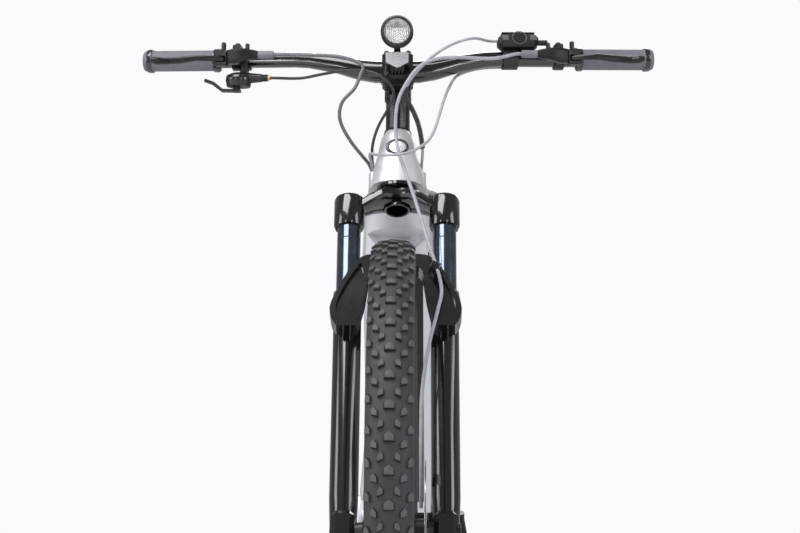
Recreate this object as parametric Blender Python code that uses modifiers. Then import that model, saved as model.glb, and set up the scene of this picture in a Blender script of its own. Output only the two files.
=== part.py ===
"""Electric mountain bike: a hardtail with a mid motor, a battery in the down tube and a suspension fork.

The bike stands upright on both tyres and its kickstand. It faces -Y, +Z is up and +X is the rider's left.
The origin is on the floor, halfway between the axles. Lengths are in metres, angles in degrees until used.
"""
import math

import bmesh
import bpy
from mathutils import Vector

# Wheels and chassis
WHEEL_RADIUS = 0.368
WHEELBASE = 1.170
TYRE_WIDTH = 0.058
TYRE_HEIGHT = 0.052
TREAD_ROWS = 22
KNOB_HEIGHT = 0.0034
CROWN_FLAT = 0.0120
RIM_WIDTH = 0.030
RIM_DEPTH = 0.019
SPOKES = 24
SPOKE_RADIUS = 0.0011
SPOKE_SLANT = 66
FRONT_HUB_WIDTH = 0.100
REAR_HUB_WIDTH = 0.148
ROTOR_RADIUS = 0.090
ROTOR_THICKNESS = 0.0018
BAND_WIDTH = 0.014

# Steering line, measured up it from the point nearest the front axle
HEAD_ANGLE = 66.5
FORK_OFFSET = 0.046
CROWN_BASE = 0.499
CROWN_THICKNESS = 0.027
LOWER_CUP = 0.0043
HEAD_TUBE_LENGTH = 0.0915
UPPER_CUP = 0.0055
SPACER_STACK = 0.0535
STEM_HEIGHT = 0.041
STEM_LENGTH = 0.045
STEERER_RADIUS = 0.0143
STEERER_BASE_RADIUS = 0.0195
TUBE_WALL = 0.0022

# Fork
LEG_SPACING = 0.1315
LEG_OFFSET = 0.020
STANCHION_RADIUS = 0.016
LEG_RADIUS = 0.0188
LEG_TOP = 0.352
TRAVEL = 0.100
STANCHION_OVERLAP = 0.060
SOCKET_RADIUS = 0.0212
SOCKET_DROP = 0.042
SOCKET_RISE = 0.006
ARCH_DEPTH = 0.0297
AXLE_RADIUS = 0.0075
DROPOUT_WIDTH = 0.030

# Cockpit
BAR_HALF_WIDTH = 0.3635
BAR_RADIUS = 0.0111
CLAMP_RADIUS = 0.0159
GRIP_RADIUS = 0.0152
GRIP_LENGTH = 0.1065
REMOTE_PLACE = 0.160
HOSE_RADIUS = 0.0025
CABLE_RADIUS = 0.0021
PORT_X = 0.0335
PORT_BACK = 0.004
LIGHT_RADIUS = 0.0232
LIGHT_LENGTH = 0.044

# Frame
BRACKET_BACK = 0.129
BRACKET_HEIGHT = 0.318
SEAT_ANGLE = 75
SEAT_TUBE_LENGTH = 0.440
SEAT_TUBE_RADIUS = 0.0180
POST_RADIUS = 0.0158
DOWN_TUBE_WIDTH = 0.104
DOWN_TUBE_DEPTH = 0.078
TOP_TUBE_WIDTH = 0.042
CRADLE_WIDTH = 0.088
MOTOR_RADIUS = 0.066
SADDLE_TOP = 0.944
SADDLE_LENGTH = 0.265
SADDLE_WIDTH = 0.148

# Drive
CHAIN_PITCH = 0.0127
RING_TEETH = 34
COG_TEETH = (11, 13, 15, 18, 21, 24, 28, 33, 39, 46)
COG_SPACING = 0.0038
USED_COG = 5
PULLEY_TEETH = 11
CHAIN_LINE = 0.055
CRANK_LENGTH = 0.165
SPINDLE_RADIUS = 0.0095
STANCE = 0.069
CHAIN_HALF_HEIGHT = 0.0035
CHAIN_HALF_WIDTH = 0.0026
HANGER_BACK = 0.008
HANGER_DROP = 0.026
PEDAL_LENGTH = 0.098
PEDAL_WIDTH = 0.096

# Kickstand, folded down
STAND_PIVOT_X = 0.1010
STAND_PIVOT_AHEAD = 0.046
STAND_PIVOT_DROP = 0.010
STAND_FOOT_X = 0.178
STAND_FOOT_AHEAD = 0.125

# Clearances and smoothness
GAP = 0.0003
RUN = 0.0008
ROUND = 18
RIM_SIDES = 36

SILVER = (0.60, 0.62, 0.66)
GLOSS_BLACK = (0.012, 0.012, 0.014)
BLACK = (0.022, 0.022, 0.024)
RUBBER = (0.045, 0.043, 0.042)
GREY = (0.22, 0.22, 0.23)
STEEL = (0.55, 0.55, 0.56)

# Sizes that follow from the driving ones
HALF_BASE = WHEELBASE / 2
TILT = math.radians(90 - HEAD_ANGLE)
UP = Vector((0, math.sin(TILT), math.cos(TILT)))
FORE = Vector((0, -math.cos(TILT), math.sin(TILT)))
FRONT_AXLE = Vector((0, -HALF_BASE, WHEEL_RADIUS))
REAR_AXLE = Vector((0, HALF_BASE, WHEEL_RADIUS))
STEER_FOOT = FRONT_AXLE - FORE * FORK_OFFSET
CROWN_TOP = CROWN_BASE + CROWN_THICKNESS
HEAD_BOTTOM = CROWN_TOP + LOWER_CUP
HEAD_TOP = HEAD_BOTTOM + HEAD_TUBE_LENGTH
STACK_BASE = HEAD_TOP + UPPER_CUP
STEM_BASE = STACK_BASE + SPACER_STACK
STEM_TOP = STEM_BASE + STEM_HEIGHT
STEM_MIDDLE = (STEM_BASE + STEM_TOP) / 2
BRACKET = Vector((0, BRACKET_BACK, BRACKET_HEIGHT))
SEAT_LINE = Vector((0, math.cos(math.radians(SEAT_ANGLE)), math.sin(math.radians(SEAT_ANGLE))))
SEAT_TUBE_TOP = BRACKET + SEAT_LINE * SEAT_TUBE_LENGTH
STAND_PIVOT = REAR_AXLE + Vector((STAND_PIVOT_X, -STAND_PIVOT_AHEAD, -STAND_PIVOT_DROP))
ALONG_X = (0, math.pi / 2, 0)
ON_SIDE = (math.pi / 2, 0, math.pi / 2)
FACING = (math.pi / 2, 0, 0)

for old in list(bpy.data.objects):
    bpy.data.objects.remove(old, do_unlink=True)
parts = bpy.data.collections.new("electric_mountain_bike")
cutters = bpy.data.collections.new("cutters")
bpy.context.scene.collection.children.link(parts)
bpy.context.scene.collection.children.link(cutters)


# Tools that every piece shares
def put(data, name, at=(0, 0, 0), turn=(0, 0, 0), frame=None):
    ob = bpy.data.objects.new(name, data)
    parts.objects.link(ob)
    ob.location = at
    ob.rotation_euler = turn
    ob.parent = frame
    return ob


def guide(name, at=(0, 0, 0), turn=(0, 0, 0), frame=None):
    ob = put(None, name, at, turn, frame)
    ob.empty_display_size = 0.02
    return ob


def paint(ob, colour, metallic=0.0, roughness=0.4, angle=35):
    material = bpy.data.materials.new(ob.name)
    material.use_nodes = True
    shader = material.node_tree.nodes["Principled BSDF"]
    shader.inputs["Base Color"].default_value = (*colour, 1)
    shader.inputs["Metallic"].default_value = metallic
    shader.inputs["Roughness"].default_value = roughness
    ob.data.materials.clear()
    ob.data.materials.append(material)
    if ob.type == "MESH":
        ob.data.shade_smooth()
        ob.data.set_sharp_from_angle(angle=math.radians(angle))
    return ob


def box(name, size, at=(0, 0, 0), turn=(0, 0, 0), frame=None, edge=0.0):
    bm = bmesh.new()
    bmesh.ops.create_cube(bm, size=1)
    bmesh.ops.scale(bm, vec=Vector(size), verts=bm.verts)
    mesh = bpy.data.meshes.new(name)
    bm.to_mesh(mesh)
    bm.free()
    ob = put(mesh, name, at, turn, frame)
    if edge:
        round_edges(ob, edge)
    return ob


def round_edges(ob, width, segments=1, angle=40):
    bevel = ob.modifiers.new("rounded edges", "BEVEL")
    bevel.width = width
    bevel.segments = segments
    bevel.limit_method = "ANGLE"
    bevel.angle_limit = math.radians(angle)
    return ob


def disc(name, radius, length, at=(0, 0, 0), turn=(0, 0, 0), frame=None, sides=ROUND, end_radius=None):
    bm = bmesh.new()
    top = radius if end_radius is None else end_radius
    bmesh.ops.create_cone(bm, cap_ends=True, segments=sides, radius1=radius, radius2=top, depth=length)
    mesh = bpy.data.meshes.new(name)
    bm.to_mesh(mesh)
    bm.free()
    return put(mesh, name, at, turn, frame)


def turned(name, profile, at=(0, 0, 0), turn=(0, 0, 0), frame=None, sides=ROUND, ring=False):
    """Turns (radius, height) points round Z; the outer side runs from the top down."""
    mesh = bpy.data.meshes.new(name)
    edges = [(k, k + 1) for k in range(len(profile) - 1)]
    if ring:
        edges.append((len(profile) - 1, 0))
    mesh.from_pydata([(r, 0, h) for r, h in profile], edges, [])
    ob = put(mesh, name, at, turn, frame)
    screw = ob.modifiers.new("turned", "SCREW")
    screw.steps = sides
    screw.render_steps = sides
    screw.use_merge_vertices = True
    screw.merge_threshold = 0.00001
    screw.use_normal_calculate = False
    return ob


def tube(name, points, radius, at=(0, 0, 0), frame=None, sides=8, scales=None):
    curve = bpy.data.curves.new(name, "CURVE")
    curve.dimensions = "3D"
    curve.bevel_depth = radius
    curve.bevel_resolution = (sides - 4) // 2
    curve.use_fill_caps = True
    spline = curve.splines.new("POLY")
    spline.points.add(len(points) - 1)
    for k, point in enumerate(points):
        spline.points[k].co = (*point, 1)
        spline.points[k].radius = scales[k] if scales else 1
    return put(curve, name, at, (0, 0, 0), frame)


def plate(name, outlines, thickness, at=(0, 0, 0), turn=(0, 0, 0), frame=None):
    """A flat outline, with any holes as further outlines, given thickness about its own plane."""
    curve = bpy.data.curves.new(name, "CURVE")
    curve.dimensions = "2D"
    curve.fill_mode = "BOTH"
    curve.extrude = thickness / 2
    for outline in outlines:
        spline = curve.splines.new("POLY")
        spline.points.add(len(outline) - 1)
        for k, point in enumerate(outline):
            spline.points[k].co = (point[0], point[1], 0, 1)
        spline.use_cyclic_u = True
    return put(curve, name, at, turn, frame)


def meshed(curve_ob):
    """Makes a curve a mesh with welded caps, so that it can be cut or joined."""
    bpy.context.view_layer.update()
    depsgraph = bpy.context.evaluated_depsgraph_get()
    mesh = bpy.data.meshes.new_from_object(curve_ob.evaluated_get(depsgraph))
    bm = bmesh.new()
    bm.from_mesh(mesh)
    bmesh.ops.remove_doubles(bm, verts=bm.verts, dist=0.000005)
    bmesh.ops.recalc_face_normals(bm, faces=bm.faces)
    bm.to_mesh(mesh)
    bm.free()
    name = curve_ob.name
    ob = put(mesh, name + "_mesh", curve_ob.location, curve_ob.rotation_euler, curve_ob.parent)
    bpy.data.objects.remove(curve_ob, do_unlink=True)
    ob.name = name
    return ob


def loft(name, sections, at=(0, 0, 0), turn=(0, 0, 0), frame=None):
    """Skins a row of unlike closed sections that have the same number of points, and caps both ends."""
    bm = bmesh.new()
    rows = [[bm.verts.new(point) for point in section] for section in sections]
    count = len(rows[0])
    for near, far in zip(rows, rows[1:]):
        for k in range(count):
            bm.faces.new((near[k], near[(k + 1) % count], far[(k + 1) % count], far[k]))
    bm.faces.new(rows[0])
    bm.faces.new(rows[-1])
    bmesh.ops.recalc_face_normals(bm, faces=bm.faces)
    mesh = bpy.data.meshes.new(name)
    bm.to_mesh(mesh)
    bm.free()
    return put(mesh, name, at, turn, frame)


def oval(centre, side, over, half_side, half_over, count, power=2.0):
    """Points of a rounded section; a power above 2 squares it."""
    points = []
    for k in range(count):
        angle = 2 * math.pi * (k + 0.5) / count
        c = math.copysign(abs(math.cos(angle)) ** (2 / power), math.cos(angle))
        s = math.copysign(abs(math.sin(angle)) ** (2 / power), math.sin(angle))
        points.append(centre + side * (half_side * c) + over * (half_over * s))
    return points


def swept(name, stations, frame=None, count=10, power=2.0, side=(1, 0, 0), grow=0.0):
    """Lofts ovals set square to a path. A station is (point, half width along side, half height)."""
    centres = [Vector(station[0]) for station in stations]
    sections = []
    for k, (_, half_side, half_over) in enumerate(stations):
        run = centres[min(k + 1, len(centres) - 1)] - centres[max(k - 1, 0)]
        across = Vector(side) - run.normalized() * Vector(side).dot(run.normalized())
        over = run.normalized().cross(across.normalized())
        sections.append(oval(centres[k], across.normalized(), over, half_side + grow, half_over + grow,
                             count, power))
    return loft(name, sections, frame=frame)


def to_cutters(tool):
    for holder in tool.users_collection:
        holder.objects.unlink(tool)
    cutters.objects.link(tool)
    tool.hide_render = True
    tool.display_type = "WIRE"


def cut(ob, *tools):
    for tool in tools:
        boolean = ob.modifiers.new("cut " + tool.name, "BOOLEAN")
        boolean.operation = "DIFFERENCE"
        boolean.solver = "EXACT"
        boolean.object = tool
        to_cutters(tool)
    return ob


def join(ob, *tools):
    for tool in tools:
        boolean = ob.modifiers.new("join " + tool.name, "BOOLEAN")
        boolean.operation = "UNION"
        boolean.solver = "EXACT"
        boolean.object = tool
        to_cutters(tool)
    return ob


def round_hull(circles, sides=20):
    """Outline of (x, y, radius) discs with a band drawn tight round them."""
    points = []
    for x, y, radius in circles:
        for k in range(sides):
            angle = 2 * math.pi * k / sides
            points.append((x + radius * math.cos(angle), y + radius * math.sin(angle)))
    points = sorted(set((round(x, 7), round(y, 7)) for x, y in points))
    outline = []
    for run in (points, points[::-1]):
        chain = []
        for p in run:
            while len(chain) > 1 and turn_of(chain[-2], chain[-1], p) <= 0:
                chain.pop()
            chain.append(p)
        outline += chain[:-1]
    return outline


def turn_of(a, b, c):
    return (b[0] - a[0]) * (c[1] - a[1]) - (b[1] - a[1]) * (c[0] - a[0])


def smooth(points, steps=3):
    """Reads a smooth curve through a cord's own points."""
    points = [Vector(p) for p in points]
    ends = [points[0] * 2 - points[1]] + points + [points[-1] * 2 - points[-2]]
    route = []
    for a, b, c, d in zip(ends, ends[1:], ends[2:], ends[3:]):
        for k in range(steps):
            t = k / steps
            route.append(0.5 * (2 * b + (c - a) * t + (2 * a - 5 * b + 4 * c - d) * t ** 2
                                + (3 * b - a - 3 * c + d) * t ** 3))
    route.append(points[-1])
    return route


def pitch_radius(teeth):
    return CHAIN_PITCH / 2 / math.sin(math.pi / teeth)


# Frames that the moving pieces hang from
steering = guide("steering_axis", STEER_FOOT, (-TILT, 0, 0))
cockpit = guide("bar_clamp_centre", (0, -STEM_LENGTH, STEM_MIDDLE), (TILT, 0, 0), steering)
front_axle = guide("front_axle_line", (0, -FORK_OFFSET, 0), (TILT, 0, 0), steering)
rear_axle = guide("rear_axle_line", REAR_AXLE)
bracket = guide("crank_axis", BRACKET)
COCKPIT = STEER_FOOT + FORE * STEM_LENGTH + UP * STEM_MIDDLE


# Wheels
def tyre(name, frame):
    """A ring of tread segments; centre knobs and side knobs take turns."""
    segments = 2 * TREAD_ROWS
    crown = (WHEEL_RADIUS - KNOB_HEIGHT) / math.cos(math.pi / segments)
    seat = rim_radius() + GAP * 1.5
    half = TYRE_WIDTH / 2
    bead = seat / math.cos(math.pi / segments)
    outer = [(RIM_WIDTH / 2 - 0.0008, bead), (half, (bead + crown) / 2), (half * 0.86, crown - 0.0115),
             (CROWN_FLAT, crown)]
    section = outer + [(-x, r) for x, r in reversed(outer)]
    centre_strip = len(outer) - 1
    bm = bmesh.new()
    rows = []
    for k in range(segments):
        angle = 2 * math.pi * (k + 0.5) / segments - math.pi / 2
        rows.append([bm.verts.new((x, r * math.cos(angle), r * math.sin(angle))) for x, r in section])
    knobs = []
    for k in range(segments):
        near = rows[k]
        far = rows[(k + 1) % segments]
        for j in range(len(section)):
            i = (j + 1) % len(section)
            face = bm.faces.new((near[j], far[j], far[i], near[i]))
            centre_knob = j == centre_strip and k % 2 == 1
            side_knob = abs(j - centre_strip) == 1 and k % 2 == 0
            if centre_knob or side_knob:
                knobs.append(face)
    bmesh.ops.recalc_face_normals(bm, faces=bm.faces)
    bmesh.ops.inset_individual(bm, faces=knobs, thickness=0.0011, depth=KNOB_HEIGHT, use_even_offset=True)
    mesh = bpy.data.meshes.new(name)
    bm.to_mesh(mesh)
    bm.free()
    return paint(put(mesh, name, frame=frame), RUBBER, 0, 0.85)


def rim_radius():
    return WHEEL_RADIUS - TYRE_HEIGHT


def rim(name, frame):
    outer = rim_radius()
    half = RIM_WIDTH / 2
    inner = outer - RIM_DEPTH
    profile = [(outer, half), (outer, -half), (outer - RIM_DEPTH * 0.55, -half), (inner, 0),
               (outer - RIM_DEPTH * 0.55, half)]
    return paint(turned(name, profile, turn=ALONG_X, frame=frame, sides=RIM_SIDES, ring=True), BLACK, 0.3,
                 0.4)


def hub(name, frame, width, rotor_x, flange_left, flange_right, shell_right):
    """Hub shell, both flanges and the spokes that they pull on, in one piece."""
    nose = width / 2 - GAP
    body = 0.0125
    flange = 0.0270
    thick = 0.0034
    profile = [(AXLE_RADIUS + GAP, nose), (0.0100, nose), (0.0120, rotor_x + 0.004),
               (0.0162, rotor_x + 0.004),
               (0.0162, flange_left + 0.006), (flange, flange_left + thick / 2),
               (flange, flange_left - thick / 2), (body, flange_left - 0.009), (body, flange_right + 0.009),
               (flange, flange_right + thick / 2), (flange, flange_right - thick / 2),
               (0.0120, shell_right),
               (0.0100, -nose), (AXLE_RADIUS + GAP, -nose)]
    shell = turned(name, profile, turn=ALONG_X, frame=frame, sides=12, ring=True)
    facet = 2 * math.pi / RIM_SIDES
    bm = bmesh.new()
    for k in range(SPOKES):
        at_rim = 2 * math.pi * k / SPOKES
        left = k % 2 == 0
        trailing = 1 if k % 4 < 2 else -1
        at_hub = at_rim + trailing * math.radians(SPOKE_SLANT)
        plane = (flange_left if left else flange_right) + trailing * (thick / 2 + SPOKE_RADIUS * 0.2)
        start = Vector((plane, math.cos(at_hub) * (flange - 0.0025), math.sin(at_hub) * (flange - 0.0025)))
        reach = (rim_radius() - RIM_DEPTH) * math.cos(facet / 2) / math.cos(at_rim % facet - facet / 2) - GAP
        end = Vector((0, math.cos(at_rim) * reach, math.sin(at_rim) * reach))
        spoke(bm, start, end)
    mesh = bpy.data.meshes.new(name + "_spokes")
    bm.to_mesh(mesh)
    bm.free()
    spokes = put(mesh, name + "_spokes", frame=frame)
    join(shell, spokes)
    return paint(shell, BLACK, 0.4, 0.35)


def spoke(bm, start, end):
    run = end - start
    made = bmesh.ops.create_cone(bm, cap_ends=True, segments=3, radius1=SPOKE_RADIUS, radius2=SPOKE_RADIUS,
                                 depth=run.length)
    bmesh.ops.rotate(bm, verts=made["verts"], matrix=run.to_track_quat("Z", "Y").to_matrix())
    bmesh.ops.translate(bm, verts=made["verts"], vec=(start + end) / 2)


def rotor(name, frame, x):
    """Brake disc: a slotted friction band on six swept arms."""
    inner = ROTOR_RADIUS - BAND_WIDTH
    bore = (0.0162 + GAP) / math.cos(math.pi / 10)
    half = ROTOR_THICKNESS / 2
    at = (x, 0, 0)
    band = turned(name, [(ROTOR_RADIUS, half), (ROTOR_RADIUS, -half), (inner, -half), (inner, half)],
                  at, ALONG_X, frame, sides=24, ring=True)
    carrier = turned(name + "_carrier", [(0.030, half * 1.6), (0.030, -half * 1.6), (bore, -half * 1.6),
                                         (bore, half * 1.6)], at, ALONG_X, frame, sides=10, ring=True)
    join(band, carrier)
    for k in range(6):
        angle = math.radians(60 * k)
        sweep = math.radians(32)
        near = Vector((0.027 * math.cos(angle), 0.027 * math.sin(angle)))
        far = Vector(((inner + 0.004) * math.cos(angle + sweep), (inner + 0.004) * math.sin(angle + sweep)))
        middle = (near + far) / 2
        length = (far - near).length
        lean = math.atan2(far.y - near.y, far.x - near.x)
        arm = box(f"{name}_arm_{k}", (ROTOR_THICKNESS * 0.9, length, 0.0075), (x, middle.x, middle.y),
                  (lean, 0, 0), frame)
        join(band, arm)
    return paint(band, STEEL, 1.0, 0.3)


def make_wheels():
    tyre("front_tyre", front_axle)
    rim("front_rim", front_axle)
    hub("front_hub_and_spokes", front_axle, FRONT_HUB_WIDTH, FRONT_ROTOR_X, 0.0205, -0.0330, -0.040)
    rotor("front_brake_rotor", front_axle, FRONT_ROTOR_X)
    tyre("rear_tyre", rear_axle)
    rim("rear_rim", rear_axle)
    hub("rear_hub_and_spokes", rear_axle, REAR_HUB_WIDTH, REAR_ROTOR_X, 0.0330, -0.0200, -0.027)
    rotor("rear_brake_rotor", rear_axle, REAR_ROTOR_X)


FRONT_ROTOR_X = FRONT_HUB_WIDTH / 2 - 0.0105
REAR_ROTOR_X = REAR_HUB_WIDTH / 2 - 0.0155
make_wheels()


# Fork, in the steering frame: X across, Y back, Z up the steering line
def leg_profile():
    floor = LEG_TOP - STANCHION_OVERLAP - TRAVEL - 0.010
    bore = STANCHION_RADIUS + GAP
    return [(0, floor), (bore, floor), (bore, LEG_TOP), (LEG_RADIUS * 0.98, LEG_TOP),
            (LEG_RADIUS + 0.0022, LEG_TOP - 0.005),
            (LEG_RADIUS + 0.0022, LEG_TOP - 0.014), (LEG_RADIUS, LEG_TOP - 0.024), (LEG_RADIUS, 0.055),
            (LEG_RADIUS * 0.90, 0.004), (LEG_RADIUS * 0.55, -0.016), (0, -0.016)]


def mirrored(half):
    """Closes a half outline, listed from the centre line outwards and back to it."""
    return half + [(-x, y) for x, y in reversed(half) if x > 0]


def rounded(outline):
    """Smooths a hand-drawn part of an outline."""
    return [(point.x, point.y) for point in smooth([(x, y, 0) for x, y in outline], 2)]


def make_fork():
    leg_x = LEG_SPACING / 2
    clear_tyre = WHEEL_RADIUS + 0.009
    inner_x = TYRE_WIDTH / 2 + 0.008
    outer = [(0, clear_tyre + 0.0170), (0.030, clear_tyre + 0.0165), (0.046, clear_tyre + 0.0125),
             (leg_x - 0.0048, LEG_TOP + 0.0215), (leg_x + 0.0108, LEG_TOP - 0.0100),
             (leg_x + 0.0187, LEG_TOP - 0.0265), (leg_x + 0.0222, LEG_TOP - 0.0410),
             (leg_x + 0.0197, LEG_TOP - 0.0560), (leg_x + 0.0132, LEG_TOP - 0.0670)]
    inner = [(leg_x - 0.0138, LEG_TOP - 0.0670), (leg_x - 0.0190, LEG_TOP - 0.0470),
             (leg_x - 0.0245, LEG_TOP - 0.0220), (inner_x, clear_tyre - 0.0170),
             (inner_x - 0.0050, clear_tyre - 0.0050), (0.018, clear_tyre - 0.0005), (0, clear_tyre)]
    arch_front = -LEG_OFFSET - 0.0120 - ARCH_DEPTH / 2
    arch = meshed(plate("arch", [mirrored(rounded(outer) + rounded(inner))], ARCH_DEPTH, (0, arch_front, 0),
                        FACING, steering))
    round_edges(arch, 0.0042, 2)
    for side in (1, -1):
        cut(arch, disc(f"arch_bore_{side}", LEG_RADIUS - 0.0008, 0.3, (side * leg_x, -LEG_OFFSET, LEG_TOP),
                       (0, 0, 0), steering, 16))
        cut(arch, disc(f"socket_room_{side}", SOCKET_RADIUS + 0.0015, 0.1, (side * leg_x, -LEG_OFFSET,
                                                                            LEG_TOP + 0.0515), (0, 0, 0),
                                                                            steering, 16))
    lowers = turned("fork_lowers", leg_profile(), (leg_x, -LEG_OFFSET, 0), (0, 0, 0), steering, sides=16)
    other_leg = turned("other_leg", leg_profile(), (-leg_x, -LEG_OFFSET, 0), (0, 0, 0.06), steering,
                       sides=16)
    join(lowers, other_leg, arch)
    for side, tag in ((1, "left"), (-1, "right")):
        face = FRONT_HUB_WIDTH / 2
        deep = FORK_OFFSET - LEG_OFFSET + 0.030
        block = box("dropout_" + tag, (DROPOUT_WIDTH, deep, 0.0430),
                    (side * (face + DROPOUT_WIDTH / 2), -(LEG_OFFSET + FORK_OFFSET) / 2, 0.0030), (0, 0, 0),
                    steering, 0.006)
        shave = box("inside_" + tag, (0.02, 0.12, 0.060),
                    (side * (face - 0.01), -FORK_OFFSET, -0.004), (0, 0, 0), steering)
        join(lowers, block)
        cut(lowers, shave)
        pocket_edge = rounded([(0.047, clear_tyre + 0.0035), (leg_x - 0.0060, LEG_TOP + 0.0100),
                               (leg_x + 0.0075, LEG_TOP - 0.0160), (leg_x + 0.0142, LEG_TOP - 0.0350),
                               (leg_x + 0.0125, LEG_TOP - 0.0500), (leg_x + 0.0020, LEG_TOP - 0.0460),
                               (leg_x - 0.0085, LEG_TOP - 0.0200), (inner_x + 0.0065, clear_tyre - 0.0120)])
        pocket = meshed(plate("arch_pocket_" + tag, [[(side * x, y) for x, y in pocket_edge]], 0.020,
                              (0, arch_front - ARCH_DEPTH / 2 - 0.0030, 0), FACING, steering))
        cut(lowers, pocket)
    mount = box("caliper_mount", (0.016, 0.012, 0.075), (leg_x - 0.004, -LEG_OFFSET + LEG_RADIUS, 0.050),
                (0, 0, 0), steering, 0.002)
    join(lowers, mount)
    bore = disc("axle_bore", AXLE_RADIUS + GAP, 0.3, (0, -FORK_OFFSET, 0), ALONG_X, steering, 16)
    cut(lowers, bore)
    paint(lowers, GLOSS_BLACK, 0.0, 0.15)
    make_crown(leg_x)
    axle = turned("front_thru_axle", [(0, 0.0850), (0.0065, 0.0850), (0.0105, 0.0835), (0.0105, 0.0803),
                                      (AXLE_RADIUS, 0.0803), (AXLE_RADIUS, -0.0815), (0, -0.0815)],
                  (0, -FORK_OFFSET, 0), ALONG_X, steering, sides=12)
    paint(axle, BLACK, 0.6, 0.35)
    caliper("front_caliper", steering, (0, -FORK_OFFSET, 0), math.radians(72), FRONT_ROTOR_X)


def make_crown(leg_x):
    """Forged crown with the steerer tube and both stanchions pressed into it."""
    top = CROWN_TOP
    half_shape = [(0.0, 0.0, 0.0, 0.0265), (0.25, 0.0015, 0.0010, 0.0255), (0.5, 0.0110, 0.0080, 0.0200),
                  (0.75, 0.0230, 0.0190, 0.0150), (1.0, 0.0270, 0.0250, 0.0150)]
    shape = [(-share, *rest) for share, *rest in reversed(half_shape[1:])] + half_shape
    stations = []
    for share, top_fall, base_fall, deep in shape:
        high = top - top_fall
        low = CROWN_BASE + 0.002 - base_fall
        centre = Vector((share * leg_x, -LEG_OFFSET * abs(share) - 0.001, (high + low) / 2))
        stations.append(oval(centre, Vector((0, 1, 0)), Vector((0, 0, 1)), deep, (high - low) / 2, 14, 3.0))
    crown = loft("fork_crown_and_steerer", stations, frame=steering)
    foot = CROWN_BASE - SOCKET_DROP
    socket_top = CROWN_BASE + SOCKET_RISE
    for side in (1, -1):
        socket = turned(f"socket_{side}", [(0, socket_top), (SOCKET_RADIUS - 0.0050, socket_top),
                                           (SOCKET_RADIUS - 0.0015, socket_top - 0.0015),
                                           (SOCKET_RADIUS, socket_top - 0.0050),
                                           (SOCKET_RADIUS, foot + 0.004),
                                           (SOCKET_RADIUS - 0.0015, foot), (0, foot)],
                        (side * leg_x, -LEG_OFFSET, 0), (0, 0, 0), steering, sides=16)
        low = LEG_TOP - STANCHION_OVERLAP
        stanchion = disc(f"stanchion_{side}", STANCHION_RADIUS, CROWN_BASE - low,
                         (side * leg_x, -LEG_OFFSET, (low + CROWN_BASE) / 2), (0, 0, 0), steering, 16)
        join(crown, socket, stanchion)
    steerer = turned("steerer", [(0, STEM_TOP - 0.002), (STEERER_RADIUS, STEM_TOP - 0.002),
                                 (STEERER_RADIUS, HEAD_BOTTOM + 0.050),
                                 (STEERER_BASE_RADIUS, HEAD_BOTTOM + 0.020),
                                 (STEERER_BASE_RADIUS, HEAD_BOTTOM - GAP), (0.0300, HEAD_BOTTOM - GAP),
                                 (0.0300, top - 0.0005), (STEERER_BASE_RADIUS, top - 0.004),
                                 (0, top - 0.004)],
                     frame=steering, sides=16)
    bore = turned("steerer_bore", [(0, STEM_TOP + 0.01), (STEERER_RADIUS - TUBE_WALL, STEM_TOP + 0.01),
                                   (STEERER_RADIUS - TUBE_WALL, HEAD_BOTTOM + 0.050),
                                   (STEERER_BASE_RADIUS - TUBE_WALL * 1.6, HEAD_BOTTOM + 0.020),
                                   (STEERER_BASE_RADIUS - TUBE_WALL * 1.6, CROWN_BASE + 0.0080),
                                   (STEERER_BASE_RADIUS + 0.0005, CROWN_BASE + 0.0045),
                                   (STEERER_BASE_RADIUS + 0.0005, CROWN_BASE - 0.02),
                                   (0, CROWN_BASE - 0.02)],
                  frame=steering, sides=16)
    join(crown, steerer)
    cut(crown, bore)
    paint(crown, GLOSS_BLACK, 0.0, 0.15)


def caliper(name, frame, axle_at, back, rotor_x, thick=0.034, long=0.058):
    """A caliper body astride the rotor; back is the angle behind straight up."""
    middle = ROTOR_RADIUS - 0.008
    centre = Vector(axle_at) + Vector((rotor_x, middle * math.sin(back), middle * math.cos(back)))
    body = box(name, (thick, long, 0.030), centre, (-back, 0, 0), frame, 0.004)
    inward = Vector((0, math.sin(back), math.cos(back))) * 0.006
    slot = box(name + "_slot", (ROTOR_THICKNESS + 2 * RUN, 0.070, 0.032), centre - inward, (-back, 0, 0),
               frame)
    cut(body, slot)
    return paint(body, BLACK, 0.3, 0.35)


make_fork()


# Headset, spacers and stem
def ring_part(name, outer, inner, low, high, frame, at=(0, 0, 0), turn=(0, 0, 0), sides=18):
    profile = [(outer, high), (outer, low), (inner, low), (inner, high)]
    return turned(name, profile, at, turn, frame, sides, ring=True)


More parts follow.
